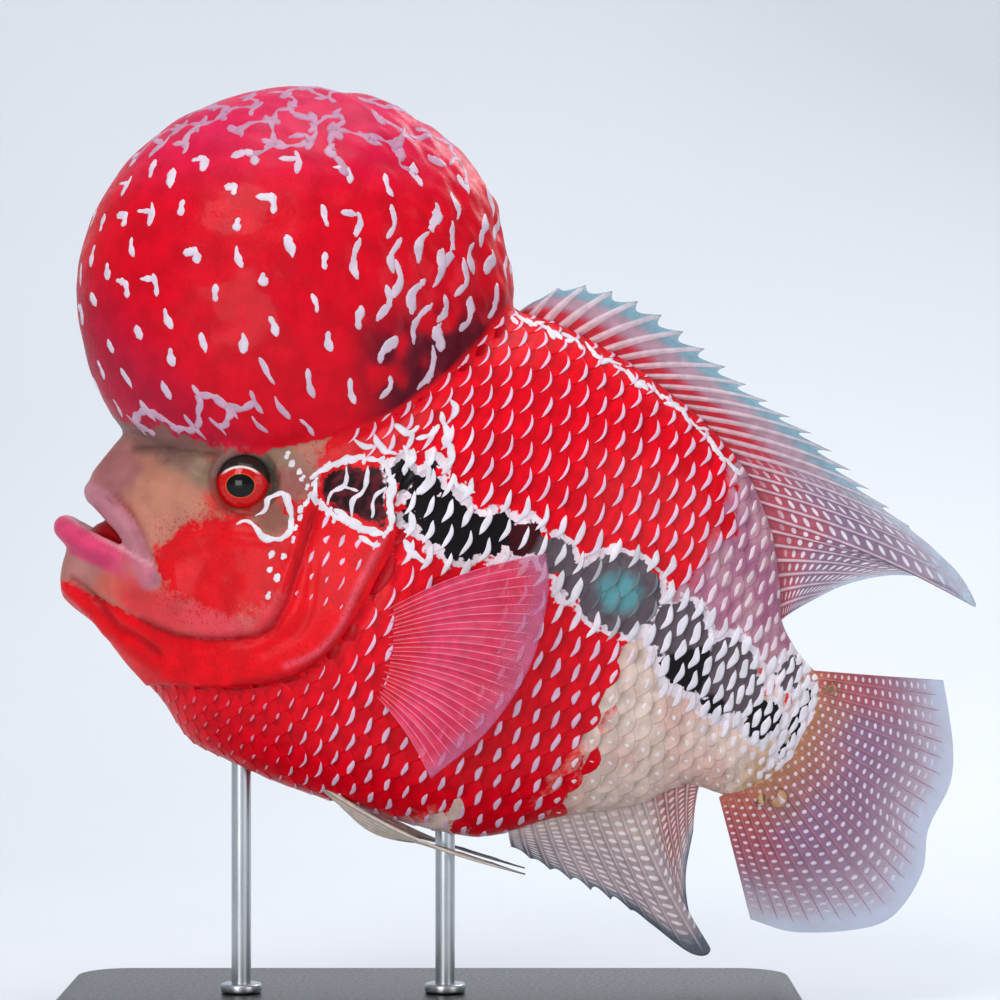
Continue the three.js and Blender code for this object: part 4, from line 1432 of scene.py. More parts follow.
# Strokes on each flank, as (s, h) places along them and half a width. The first four border the
# gill cover's dark patch, and the longest one rings the spot behind the eye.
FLANK_STROKES = [
    ([(52.6, 31.5), (55.4, 36), (60, 39.4), (66.5, 42.6)], 1.05),
    ([(68, 42.4), (71.6, 38), (73.4, 33), (76, 27.6)], 1.1),
    ([(53.4, 30), (54.8, 27), (58.5, 24.9), (63, 24.8)], 1.05),
    ([(62, 23.6), (66.5, 24.6), (70.5, 24.2), (75.6, 25.6)], 1.25),
    ([(61, 25.6), (65, 25.2), (69, 25.8)], 0.9), ([(70, 22.4), (73.4, 21.8), (75.4, 23)], 0.9),
    ([(58.6, 37), (60.6, 33), (58.4, 29), (59, 26)], 0.62),
    ([(64, 39.5), (65.8, 34.5), (64.2, 30), (66, 26)], 0.72),
    ([(70.6, 36.5), (69.2, 32.5), (70.6, 28)], 0.6), ([(60.4, 32), (64.6, 32.6)], 0.5),
    ([(42.9, 15.4), (44.6, 18.4), (44.4, 21.4), (46.2, 23.6), (49.4, 22.4), (51.8, 19.2), (52.7, 15.4),
      (51.2, 12.6), (48, 11.8), (45, 13.1), (41.9, 13.2), (39.4, 11.6)], 0.92),
    ([(80, 54), (82.6, 50), (82, 45.5)], 0.9), ([(77.5, 47), (79.6, 43), (78.4, 38)], 0.9),
    ([(84.5, 47), (87.6, 44.5), (92, 45)], 0.8), ([(80, 27), (83.5, 24), (88.5, 23.4)], 0.9),
    ([(78.6, 33.5), (80.4, 30.2), (79.6, 27)], 0.7), ([(75, 60), (78.4, 56), (80, 52)], 0.9),
    ([(70, 48), (73, 45), (73.4, 41)], 0.9), ([(62, 47.5), (66, 45), (70, 45.4)], 0.8),
    ([(66, 52), (69.4, 51.4), (71.6, 54)], 0.9), ([(72.6, 51), (75.4, 53), (76, 56.6)], 0.8),
    ([(58, 44.4), (61, 43.6), (63.6, 44.8)], 0.7), ([(76, 64), (78.4, 62), (78, 58.6)], 0.7),
]
# Strokes at least this wide are borders, and get short teeth along them
BORDER_HALF = 1.0
EYE_BEADS = [
    (45.6, 31.8), (48.6, 30.7), (50.6, 29.5), (52.2, 28.0), (53.5, 26.2), (54.2, 24.1), (53.6, 22.1),
    (54.2, 20.2), (54.3, 17.3), (55.1, 14.3), (54.1, 9.3), (51.6, 8.4), (55.5, 3.7), (52.6, 4.8),
    (54.5, -1.4), (43.6, 33.2),
]
BACK_BEADS = [(79.6, 91.0), (95, 92.6), (111.6, 91.4), (130, 88), (143, 83.6), (153, 78.6)]


def make_flank_marks(tree, side, word):
    """The white borders, the beads behind the eye and the dashed line below the dorsal fin."""
    coat = Coat("flank_marks_" + word)
    for k, (line, half) in enumerate(FLANK_STROKES):
        flank_stroke(coat, tree, line, side, half, PEARL_WHITE, phase=1.7 * k)
        if half < BORDER_HALF:
            continue
        for s, h in smooth_line(line, 5):
            reach = 0.9 + 0.6 * dice.uniform()
            lean = 0.5 * reach * dice.uniform(-1, 1)
            tooth = [(s - lean, h - reach), (s, h), (s + lean, h + reach)]
            flank_stroke(coat, tree, tooth, side, 0.55 + 0.3 * dice.uniform(), PEARL_WHITE, k)
    for k, (s, h) in enumerate(EYE_BEADS):
        lean = 0.25 * math.sin(4.0 * k)
        reach = 0.8 + 0.4 * dice.uniform()
        s = s + 0.5 * dice.uniform(-1, 1)
        bead = [(s - lean, h - reach), (s, h), (s + lean, h + reach)]
        flank_stroke(coat, tree, bead, side, 0.66 + 0.3 * dice.uniform(), PEARL_WHITE, k)
    back_line = smooth_line(BACK_BEADS, 38)
    for k, (s, h) in enumerate(back_line[1:-1]):
        turn = -0.35 + 0.5 * dice.uniform(-1, 1) + (0.9 if k % 5 == 3 else 0)
        half = 1.4 + 0.8 * dice.uniform()
        step = np.array([math.cos(turn), math.sin(turn)]) * half
        middle = np.array([s, h]) + dice.uniform(-0.7, 0.7, 2) - [0, 0.9]
        dash = [middle - step, middle + 0.2 * dice.uniform(-1, 1, 2), middle + step]
        flank_stroke(coat, tree, dash, side, 0.72 + 0.3 * dice.uniform(), PEARL_WHITE, k)
    return coat


SPREAD_TRIES = 5200
ABOVE_HUMP = 6
HUMP_REACH = 16
HUMP_CLEARANCE = 2.2
NET_STEPS = 13
NET_REACH = 13


def hump_frame(share):
    """Outward and downward unit directions on the hump at unit-ball places, in world axes."""
    out = share / np.array(HUMP_HALF)
    out /= np.linalg.norm(out)
    down = np.array([0.0, 0.0, -1.0]) + 0.05 * share
    down = down - out * (down @ out)
    down /= np.linalg.norm(down)
    origin = to_world(hump_to_body(np.zeros((1, 3))))[0]
    turned = to_world(hump_to_body(np.vstack((out, down)))) - origin
    turned /= np.linalg.norm(turned, axis=1)[:, None]
    return turned


def mark_spacing(share):
    """How far apart the hump's marks stand at a unit-ball place, in millimetres."""
    rear_low = smoothly(0.2, 0.5, share[0]) * smoothly(0.3, -0.1, share[2])
    top = smoothly(0.5, 0.75, share[2] + 0.25 * share[0])
    low_front = smoothly(-0.35, -0.6, share[2]) * smoothly(0.1, -0.3, share[0])
    return 8.5 - 2.2 * rear_low - 1.8 * top - 2.8 * low_front


def spread_on_hump():
    """Evenly scattered unit-ball places on the hump."""
    kept = []
    for _ in range(SPREAD_TRIES):
        share = dice.normal(size=3)
        share /= np.linalg.norm(share)
        local = share * np.array(HUMP_HALF)
        spacing = mark_spacing(share)
        if all(np.linalg.norm(local - other[1]) > min(spacing, other[2]) for other in kept):
            kept.append((share, local, spacing))
    return kept


def hump_stroke(coat, tree, start, path, half_width, colour, phase, blunt=0.5, waist=0.0):
    """A pearl stroke along a path of world points near the hump, mapped at its unit-ball place."""
    centre = to_world(hump_to_body(np.zeros((1, 3))))[0]
    centres, normals = [], []
    for point in path:
        inward = centre - point
        inward /= np.linalg.norm(inward)
        hit = tree.ray_cast(Vector(point - inward * ABOVE_HUMP * MM), Vector(inward), HUMP_REACH * MM)
        if hit[0] is None or outside_body(to_body([hit[0]]))[0] < HUMP_CLEARANCE:
            return
        centres.append(hit[0])
        normals.append(hit[1])
    root = (0.5 + 0.49 * math.atan2(start[1], start[0]) / math.pi, 0.5 + 0.49 * start[2])
    centres, normals = np.array(centres), np.array(normals)
    add_stroke(coat, centres, normals, half_width, colour, root, phase, blunt, waist=waist)


def net_strokes(coat, tree, worlds, k, share, out, colour, net, top, phase, linked):
    """Strokes that join a mark to some of its neighbours."""
    away = np.linalg.norm(worlds - worlds[k], axis=1)
    for other in np.argsort(away)[1:4]:
        pair = (min(k, int(other)), max(k, int(other)))
        if pair in linked or away[other] > NET_REACH * MM or dice.uniform() > 0.5 * net:
            continue
        linked.add(pair)
        t = np.linspace(0, 1, NET_STEPS)
        sway = np.sin(math.pi * t) * dice.uniform(-1.8, 1.8)
        sway = sway + 0.5 * np.sin(3 * math.pi * t) * dice.uniform(-1, 1)
        line = worlds[other] - worlds[k]
        bend = np.cross(out, line / np.linalg.norm(line))
        path = worlds[k] + t[:, None] * line + (sway * MM)[:, None] * bend
        half = 0.95 + 0.35 * dice.uniform()
        hump_stroke(coat, tree, share, path, half, colour, phase, blunt=0.14, waist=0.9 * top)


def make_hump_marks(tree):
    """Pale dashes all over the hump, longer low at its rear, joined to a net on top and low in front."""
    coat = Coat("hump_marks")
    spots = spread_on_hump()
    worlds = to_world(hump_to_body(np.array([local for _share, local, _spacing in spots])))
    linked = set()
    for k, (share, local, _spacing) in enumerate(spots):
        if outside_body(hump_to_body(local[None, :]))[0] < 2.0:
            continue
        out, down = hump_frame(share)
        side = np.cross(out, down)
        roll = dice.uniform(-1, 1, 6)
        rear_low = float(smoothly(0.15, 0.45, share[0]) * smoothly(0.45, 0.0, share[2]))
        top = float(smoothly(0.5, 0.72, share[2] + 0.3 * share[0]))
        low_front = float(smoothly(-0.3, -0.55, share[2]) * smoothly(0.2, -0.2, share[0]))
        length = 2.5 + 0.8 * roll[0] + rear_low * (2.4 + 1.6 * roll[1]) + low_front * 1.2 + 0.8 * top
        half = 1.12 + 0.25 * roll[2] + 0.25 * rear_low - 0.42 * low_front + 0.1 * top
        frontward = side * (1 if share[1] > 0 else -1)
        lean = 0.2 * roll[3] + 0.5 * rear_low - 0.35 * low_front + 0.6 * roll[4] * top
        way = down * math.cos(lean) + frontward * math.sin(lean)
        t = np.linspace(-1, 1, STROKE_STEPS)
        wave = (0.3 + 0.9 * rear_low + 0.7 * top) * np.sin(2.2 * t + 3 * roll[5])
        path = worlds[k] + (t * length * MM)[:, None] * way + (wave * MM)[:, None] * np.cross(out, way)
        lilac = tinted(tint("D0C2D0"), "B07C98", max(top, 0.7 * low_front, 0.3 * rear_low))
        hump_stroke(coat, tree, share, path, half, lilac, 5 * roll[5])
        if roll[5] > 0.25 and share[2] > 0.0 and rear_low < 0.6:
            aside = down * math.cos(lean + 1.8) + frontward * math.sin(lean + 1.8)
            start = path[1 + int(3 * abs(roll[0]))]
            arm = start + (np.linspace(0, 1, STROKE_STEPS) * 1.5 * length * MM)[:, None] * aside
            hump_stroke(coat, tree, share, arm, 0.8 * half, lilac, 2 * roll[1])
        net = max(top, 0.7 * low_front * (share[0] < -0.3))
        if net >= 0.45:
            net_strokes(coat, tree, worlds, k, share, out, lilac, net, top, 3 * roll[0], linked)
    return coat


# Fins


LINE_POINTS = 240
FIN_SUNK = 1.5


def spread_along(line, t):
    """Places at shares t of the way along a smooth line."""
    even = smooth_line(line, LINE_POINTS)
    return np.column_stack([np.interp(t, np.linspace(0, 1, LINE_POINTS), even[:, k]) for k in (0, 1)])


def fin_sheet(name, roots, edges, rays, place, normal, thickness, steps=8, rows=48, notch=None, bow=0.0):
    """A closed membrane between a root line and an edge line, with a ridge along each ray.

    place and normal give a point's place in the body frame and the sheet's facing there, from its
    flat s and h, its share v of the way out and its share t of the way along the fin.
    """
    columns = (rays - 1) * steps + 1
    t = np.linspace(0, 1, columns)
    root = spread_along(roots, t)
    tip = spread_along(edges, t)
    ray = t * (rays - 1)
    off_ray = np.abs(ray - np.round(ray)) * 2
    depth = notch(t) if notch else np.zeros(columns)
    v = np.linspace(0, 1, rows + 1)
    reach = 1 - depth * np.sin(off_ray * math.pi / 2)
    along = v[None, :] * reach[:, None]
    lift = bow * np.sin(math.pi * along)
    span = tip - root
    s = root[:, :1] + span[:, :1] * along - span[:, 1:] * lift
    h = root[:, 1:] + span[:, 1:] * along + span[:, :1] * lift
    tt = np.repeat(t[:, None], rows + 1, axis=1)
    vv = np.repeat(v[None, :], columns, axis=0)
    ridge = np.exp(-(off_ray / 0.3) ** 2)[:, None]
    half = thickness(tt, vv, ridge)
    flat = (s.ravel(), h.ravel(), along.ravel(), tt.ravel())
    middle = place(*flat)
    out = normal(*flat)
    near = to_world(middle - out * half.ravel()[:, None])
    far = to_world(middle + out * half.ravel()[:, None])
    made = link(name, np.vstack((near, far)), plate_faces(columns, rows + 1, 0))
    uv = np.column_stack((tt.ravel() * (rays - 1), along.ravel()))
    add_map(made, "FinMap", np.vstack((uv, uv)))
    face_outwards(made)
    return made


def taper(root, tip, membrane=0.16):
    """Thickness that falls along each ray, over a thin membrane."""
    return lambda t, v, ridge: membrane * (1 - 0.4 * v) + (root + (tip - root) * v) * ridge


def facing(*direction):
    """A sheet's normal, where it is one direction all over."""
    return lambda s, _h, _v, _t: np.tile(direction, (len(s), 1))


upright = facing(0.0, 1.0, 0.0)


def dorsal_fin():
    first = [(s, float(back(s)) - FIN_SUNK) for s in np.linspace(81, 179.6, 12)]
    edges = [
        (84.5, 97.5), (90, 104.6), (99, 108.2), (113, 108.9), (129, 105.6), (149, 100.4), (169, 96.3),
        (189, 89.6), (210, 83), (220, 79.4), (227.4, 73.8), (216, 76), (203, 72.4), (192, 64.6),
        (184.5, 55.4),
    ]

    def place(s, h, v, t):
        ripple = 0.9 * v ** 2 * np.sin(26 * t) * (1 + t)
        return np.column_stack((s, swing(s) + ripple, h))

    return fin_sheet(
        "dorsal_sail", first, edges, 29, place, upright, taper(1.1, 0.12),
        notch=lambda t: 0.17 * smoothly(0.66, 0.52, t), bow=0.03)


def anal_fin():
    first = [(s, float(belly(s)) + FIN_SUNK) for s in np.linspace(137, 178.5, 12)]
    edges = [
        (140, -36.4), (150, -37.6), (162, -38), (178.5, -39), (196, -42.6), (200.6, -39.6),
        (192.4, -34.4), (186, -24.6), (182.6, -12.4),
    ]

    def place(s, h, v, t):
        return np.column_stack((s, swing(s) + 0.8 * v ** 2 * np.sin(20 * t), h))

    return fin_sheet(
        "anal_sail", first, edges, 17, place, upright, taper(1.05, 0.12),
        notch=lambda t: 0.1 * smoothly(0.45, 0.3, t), bow=-0.03)


def caudal_fin():
    first = [(193.9, 40), (196.1, 30), (196.3, 19), (192.1, 8), (185.1, -1.5)]
    edges = [
        (228.5, 52.4), (234, 45), (239.6, 36), (242.6, 27), (242.6, 14), (246.4, 2), (243.6, -12),
        (234.5, -20.2), (220.5, -26.8), (207.7, -28.3),
    ]

    def place(s, h, v, t):
        cup = 7 * v * v + 1.2 * v * v * np.sin(17 * t)
        return np.column_stack((s, swing(s) + cup, h))

    def thickness(t, v, ridge):
        root = 2.6 * np.sin(math.pi * (0.12 + 0.76 * t)) * np.maximum(0, 1 - 2.6 * v) ** 2
        return 0.14 + root + (0.6 - 0.5 * v) * ridge * smoothly(0, 0.2, v)

    return fin_sheet("tail_sail", first, edges, 25, place, upright, thickness, rows=56)


def pectoral_fin(side, word):
    root = [(82.7, 6), (85.6, 0), (88.4, -6.6), (90.4, -13)]
    edges = [(114.7, 38.6), (119.6, 29), (123, 11), (120.4, -8), (112.4, -25.6)]

    def place(s, h, v, t):
        root_s = root[0][0] + (root[3][0] - root[0][0]) * t
        root_h = root[0][1] + (root[3][1] - root[0][1]) * t
        out = side_at(root_s, root_h) - 1.5 + 17 * v * (1 - 0.25 * v) + 0.5 * v * v * np.sin(19 * t)
        return np.column_stack((s, side * out, h))

    outward = facing(-0.42, 0.91 * side, 0.0)
    return fin_sheet(
        "pectoral_sail_" + word, root, edges, 14, place, outward, taper(0.62, 0.08, 0.12), steps=10, bow=0.05)


def under_at(s, y):
    """The height of the body's underside."""
    share = np.minimum(1, np.abs(y) / half_width(s))
    return level(s) - (level(s) - belly(s)) * (1 - share ** ROUNDNESS) ** (1 / ROUNDNESS)


def pelvic_fin(side, word):
    # The flat sheet is a unit square here: v runs out along the fin and t across it.
    def place(v, t, _v, _t):
        s = 84 + 8 * t + (24 + 38 * (1 - t) ** 1.5) * v
        root_y = 11 - 5.5 * t
        y = root_y + (7.5 - 2.5 * t - root_y) * v
        root_h = under_at(84 + 8 * t, root_y) + 1.5
        tip_h = -40.5 - 5 * t
        h = root_h + (tip_h - root_h) * v - 3.2 * np.sin(math.pi * v)
        return np.column_stack((s, side * y, h))

    return fin_sheet(
        "pelvic_sail_" + word, [(0, 0), (0, 1)], [(1, 0), (1, 1)], 6, place, facing(0.0, 0.0, 1.0),
        taper(0.6, 0.1), rows=40)


def ray_group():
    """Ray lines and rows of pale dots on a fin's own map, with u counting rays and v from the root."""
    made = group("rays_and_dots", [
        ("Map", "NodeSocketVector", None), ("Ray Width", "NodeSocketFloat", 0.2),
        ("Dot Rows", "NodeSocketFloat", 20.0), ("Dot Size", "NodeSocketFloat", 0.3)],
        [("Rays", "NodeSocketFloat"), ("Dots", "NodeSocketFloat")])
    w = Wiring(made)
    start, end = w.ends()
    parts = w.node("ShaderNodeSeparateXYZ", {0: start.outputs["Map"]})
    u, v = parts.outputs[0], parts.outputs[1]
    off = w.math("ABSOLUTE", w.minus(u, w.math("ROUND", u)))
    rays = w.ramp(w.minus(off, start.outputs["Ray Width"]), 0.03, -0.05)
    lane = w.math("FLOOR", u)
    drift = w.math("FRACT", w.times(lane, 0.37))
    step = w.plus(w.times(v, start.outputs["Dot Rows"]), drift)
    lane_place = w.node("ShaderNodeCombineXYZ", {0: w.times(lane, 0.73), 1: w.times(v, 3.0)})
    step = w.plus(step, w.noise(lane_place.outputs[0], 1.0, 1.0))
    in_step = w.times(w.minus(w.math("FRACT", step), 0.5), 1.3)
    in_lane = w.minus(w.math("FRACT", u), 0.5)
    dots = w.ramp(w.minus(w.length(in_step, in_lane), start.outputs["Dot Size"]), 0.05, -0.05)
    w.set(end.inputs["Rays"], rays)
    w.set(end.inputs["Dots"], dots)
    return made


NO_DOTS = -1.0


def fin_material(name, colours, dot_rows=20.0, dot_size=0.26, dot_start=0.1, ray_width=0.12, alpha_root=0.95,
                 alpha_tip=0.6, ray_share=0.75, ray_repeat=1.0, spiny=None, extra=None):
    """A fin membrane in colours for its root, middle, margin, rays and dots, with a clear margin."""
    root, middle, margin, ray, dot = colours
    made, w, shader = material(name)
    fin_map = w.node("ShaderNodeUVMap", uv_map="FinMap").outputs[0]
    parts = w.node("ShaderNodeSeparateXYZ", {0: fin_map})
    soft = 1.0
    width = w.times(w.ramp(parts.outputs[1], 0.0, 1.0, 1.0, 0.45), ray_width)
    if spiny:
        soft = w.ramp(parts.outputs[0], *spiny)
        width = w.times(width, w.math("MULTIPLY_ADD", soft, -1.4, 2.4))
    repeated = w.node("ShaderNodeVectorMath", {0: fin_map, 1: (ray_repeat, 1, 1)}, operation="MULTIPLY")
    marks = w.call(ray_marks, Map=repeated.outputs[0], Ray_Width=width, Dot_Rows=dot_rows, Dot_Size=dot_size)
    along, across = parts.outputs[1], parts.outputs[0]
    place = w.place()
    cloud = w.noise(place, 90.0, 3.0)
    shifted = w.plus(along, w.times(w.minus(cloud, 0.5), 0.35))
    colour = w.mix(w.ramp(shifted, 0.12, 0.42), rgba(root), rgba(middle))
    colour = w.mix(w.ramp(shifted, 0.76, 1.0), colour, rgba(margin))
    if extra:
        colour = extra(w, colour, along, across)
    rays = w.times(marks.outputs["Rays"], w.ramp(along, 1.0, 0.86))
    colour = w.mix(w.times(rays, ray_share), colour, rgba(ray))
    shown = w.times(w.ramp(along, dot_start, dot_start + 0.12), w.ramp(along, 0.94, 0.78))
    dots = w.times(marks.outputs["Dots"], w.times(shown, soft))
    colour = w.mix(w.times(dots, 0.85), colour, rgba(dot))
    colour = w.call(mottle, Colour=colour, Place=place, Depth=0.12, Size=400.0).outputs["Colour"]
    w.set(shader.inputs["Base Color"], colour)
    clear = w.ramp(along, 0.3, 1.0, alpha_root, alpha_tip)
    solid = w.math("MAXIMUM", w.times(rays, 0.9), w.times(dots, 0.92))
    w.set(shader.inputs["Alpha"], w.math("MAXIMUM", clear, solid, clamp=True))
    joints = w.math("SINE", w.times(along, 260.0))
    height = w.plus(w.times(rays, w.math("MULTIPLY_ADD", joints, 0.15, 1.0)), w.times(dots, 0.4))
    rough_and_bumped(w, shader, cloud, 0.32, 0.48, strength=0.5, depth=0.3, height=height)
    gloss(shader, specular=0.3, coat=0.1, coat_roughness=0.03)
    return made


# Eyes


PUPIL_AHEAD = 0.8
PUPIL_BELOW = 0.9


def eye_material():
    """A black pupil, a thin gold ring, a streaked red iris with a white arc over it, and a dark rim.

    All widths in it are millimetres from the pupil's centre.
    """
    made, w, shader = material("glassy_eye")
    x, _y, z = (float(value) for value in to_world([(EYE_S, 0, EYE_H)])[0])
    local = w.node("ShaderNodeVectorMath", {0: w.place(), 1: (x, 0, z)}, operation="SUBTRACT").outputs[0]
    parts = w.node("ShaderNodeSeparateXYZ", {0: local})
    across = w.times(w.plus(parts.outputs[0], PUPIL_AHEAD * MM), 1 / MM)
    up = w.times(w.plus(parts.outputs[2], PUPIL_BELOW * MM), 1 / MM)
    reach = w.length(across, w.times(up, 1.22))
    turn = w.math("ARCTAN2", up, across)
    swirl = w.node("ShaderNodeCombineXYZ", {0: w.times(turn, 6.0), 1: w.times(reach, 0.5)})
    streaks = w.noise(swirl.outputs[0], 1.6, 4.0)
    iris = w.mix(w.ramp(streaks, 0.3, 0.7), rgba("B00408"), rgba("D00E10"))
    colour = w.mix(w.ramp(reach, 3.6, 3.7), rgba("030203"), rgba("C8541E"))
    colour = w.mix(w.ramp(reach, 3.8, 4.0), colour, iris)
    ring = w.ramp(w.plus(reach, w.times(up, 0.22)), 6.9, 7.4)
    colour = w.mix(ring, colour, rgba("24201E"))
    off_arc = w.math("ABSOLUTE", w.minus(reach, 5.9))
    arc = w.times(w.ramp(off_arc, 0.5, 0.25), w.ramp(up, 2.6, 4.0))
    colour = w.mix(w.times(arc, 0.85), colour, rgba("E6DED8"))
    w.set(shader.inputs["Base Color"], colour)
    w.set(shader.inputs["Roughness"], w.ramp(streaks, 0.3, 0.7, 0.12, 0.22))
    gloss(shader, specular=0.1, coat=0.35, coat_roughness=0.03)
    return made


def make_eyes(finish_material):
    for side, word in zip(SIDES, SIDE_WORDS):
        ball = ball_blank("eyeball_" + word, EYE_RADIUS - 0.1, side)
        ball.data.shade_smooth()
        dress(ball, finish_material, "eye", "eye_" + word)


# The stand


def satin_material(name, colour, roughness, metal=0.0, brushed=False):
    """Plain paint with a fine grain, or metal that is brushed along its height."""
    made, w, shader = material(name)
    place = w.place()
    if brushed:
        stretched = w.node("ShaderNodeMapping", {"Vector": place, "Scale": (900, 900, 30)}).outputs[0]
        grain = w.noise(stretched, 1.0, 2.0)
    else:
        grain = w.noise(place, 900.0, 3.0)
    base = w.call(mottle, Colour=rgba(colour), Place=place, Depth=0.08, Size=40.0)
    w.set(shader.inputs["Base Color"], base.outputs["Colour"])
    w.set(shader.inputs["Roughness"], w.ramp(grain, 0.2, 0.8, roughness - 0.05, roughness + 0.08))
    bump = w.node("ShaderNodeBump", {"Strength": 0.08, "Distance": 0.0002, "Height": grain})
    w.set(shader.inputs["Normal"], bump.outputs[0])
    shader.inputs["Metallic"].default_value = metal
    return made


CORNER_RADIUS = 14
EDGE_RADIUS = 1.2


def runs_up(mesh, edge):
    """Whether an edge of the base stands upright."""
    a, b = (mesh.vertices[index].co for index in edge.vertices)
    return abs(a.z - b.z) > MM


def make_base(finish_material):
    """The flat base, with round corners and softened edges."""
    low, high = (np.array(corner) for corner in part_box("stand_base"))
    bpy.ops.object.select_all(action="DESELECT")
    bpy.ops.mesh.primitive_cube_add(size=1, location=(low + high) / 2, scale=high - low)
    made = bpy.context.object
    made.name = "display_base"
    bpy.ops.object.transform_apply(location=True, rotation=True, scale=True)
    corners = [edge for edge in made.data.edges if runs_up(made.data, edge)]
    weight = made.data.attributes.new("bevel_weight_edge", "FLOAT", "EDGE")
    for edge in corners:
        weight.data[edge.index].value = 1.0
    apply_modifier(made, "BEVEL", limit_method="WEIGHT", width=CORNER_RADIUS * MM, segments=16)
    apply_modifier(
        made, "BEVEL", limit_method="ANGLE", angle_limit=math.radians(60), width=EDGE_RADIUS * MM, segments=4)
    made.data.shade_smooth()
    made.data.set_sharp_from_angle(angle=math.radians(35))
    dress(made, finish_material, "stand_black", "stand_base")


ROD_SUNK = 0.5
ROD_SPARE = 2
COLLAR_SHARE = 2.1
COLLAR_TALL = 2.4
COLLAR_MIDDLE = 1.0


def make_rods(finish_material):
    """The two rods from the base into the belly, each with a collar at its foot."""
    for word in ("front", "rear"):
        low, high = (np.array(corner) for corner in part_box("stand_rod_" + word))
        middle = (low + high) / 2
        radius = (high[0] - low[0]) / 2
        tall = high[2] - low[2] + ROD_SPARE * MM
        bpy.ops.object.select_all(action="DESELECT")
        bpy.ops.mesh.primitive_cylinder_add(
            vertices=48, radius=radius, depth=tall,
            location=(middle[0], middle[1], low[2] + tall / 2 - ROD_SUNK * MM))
        rod = bpy.context.object
        bpy.ops.mesh.primitive_cylinder_add(
            vertices=64, radius=radius * COLLAR_SHARE, depth=COLLAR_TALL * MM,
            location=(middle[0], middle[1], low[2] + COLLAR_MIDDLE * MM))
        collar = bpy.context.object
        apply_modifier(
            collar, "BEVEL", limit_method="ANGLE", angle_limit=math.radians(60), width=0.7 * MM, segments=4)
        made = join([rod, collar], "support_rod_" + word)
        alone(made)
        bpy.ops.object.transform_apply(location=True, rotation=True, scale=True)
        made.data.shade_smooth()
        made.data.set_sharp_from_angle(angle=math.radians(35))
        dress(made, finish_material, "stand_metal", "stand_rod_" + word)


# Studio


# Lamps: name, place and aim in metres, size in metres and power in watts
LAMPS = [
    ("key", (-0.5, -0.95, 0.95), (0, 0, 0.13), 0.5, 6.0),
    ("fill", (0.85, -0.8, 0.3), (0, 0, 0.13), 0.6, 2.2),
    ("top", (0.05, 0.05, 1.1), (0, 0, 0.13), 0.6, 2.4),
    ("rear", (0.45, 0.55, 0.7), (0, 0, 0.13), 0.4, 3.0),
    ("low", (-0.35, -0.85, 0.06), (-0.02, 0, 0.1), 0.35, 2.2),
    ("backdrop", (0, -0.3, 1.9), (0, 1.0, 0.5), 1.2, 12.0),
]


def make_studio():
    """A pale floor that bends up into a backdrop, soft lamps and an even sky."""
    half, bend_start, turn = 3.0, 0.4, 0.7
    line = [(-2.0, 0.0)] + [
        (bend_start + turn * math.sin(a), turn - turn * math.cos(a)) for a in np.linspace(0, math.pi / 2, 25)]
    line.append((bend_start + turn, 3.0))
    points = [(x, y, z) for x in (-half, half) for y, z in line]
    n = len(line)
    faces = [(k, n + k, n + k + 1, k + 1) for k in range(n - 1)]
    floor = link("pale_floor", points, faces)
    made, w, shader = material("pale_floor")
    patches = w.ramp(w.noise(w.place(), 2.0), 0.3, 0.7)
    w.set(shader.inputs["Base Color"], w.mix(patches, rgba("D4D9E0"), rgba("D9DDE3")))
    shader.inputs["Roughness"].default_value = 0.7
    shader.inputs["Specular IOR Level"].default_value = 0.2
    floor.data.materials.append(made)
    world = bpy.data.worlds.new("studio")
    bpy.context.scene.world = world
    world.use_nodes = True
    sky = world.node_tree.nodes["Background"]
    sky.inputs["Color"].default_value = (0.93, 0.96, 1.0, 1)
    sky.inputs["Strength"].default_value = 0.42
    for name, place, aim, size, power in LAMPS:
        data = bpy.data.lights.new(name, "AREA")
        data.size = size
        data.energy = power
        lamp = bpy.data.objects.new(name, data)
        lamp.location = place
        lamp.rotation_euler = (Vector(aim) - Vector(place)).to_track_quat("-Z", "Y").to_euler()
        bpy.context.collection.objects.link(lamp)
    bpy.context.scene.view_settings.view_transform = "Standard"


# The camera looks straight at the left flank. At the fish's middle it sees SEEN_WIDTH millimetres.
CAMERA_PLACE = (18.55, -900.0, 140.45)
SEEN_WIDTH = 265.0
SENSOR = 36.0


def make_camera():
    data = bpy.data.cameras.new("camera")
    data.sensor_width = SENSOR
    data.lens = SENSOR * -CAMERA_PLACE[1] / SEEN_WIDTH
    data.clip_start = 0.01
    made = bpy.data.objects.new("camera", data)
    made.location = [value * MM for value in CAMERA_PLACE]
    made.rotation_euler = (math.pi / 2, 0, 0)
    bpy.context.collection.objects.link(made)
    bpy.context.scene.camera = made


# Markings of their own for three fins


def dorsal_extra(w, colour, along, across):
    """Red at the base of the spines, clear teal tips and a thin dark red edge."""
    spiny = w.ramp(across, 18.5, 14.5)
    colour = w.mix(w.times(spiny, w.ramp(along, 0.2, 0.5)), colour, rgba("B08C9C"))
    colour = w.mix(w.times(spiny, w.ramp(along, 0.46, 0.24)), colour, rgba("BE142C"))
    colour = w.mix(w.times(spiny, w.ramp(along, 0.56, 0.76)), colour, rgba("5494A8"))
    return w.mix(w.times(spiny, w.ramp(along, 0.93, 0.98)), colour, rgba("6A1428"))


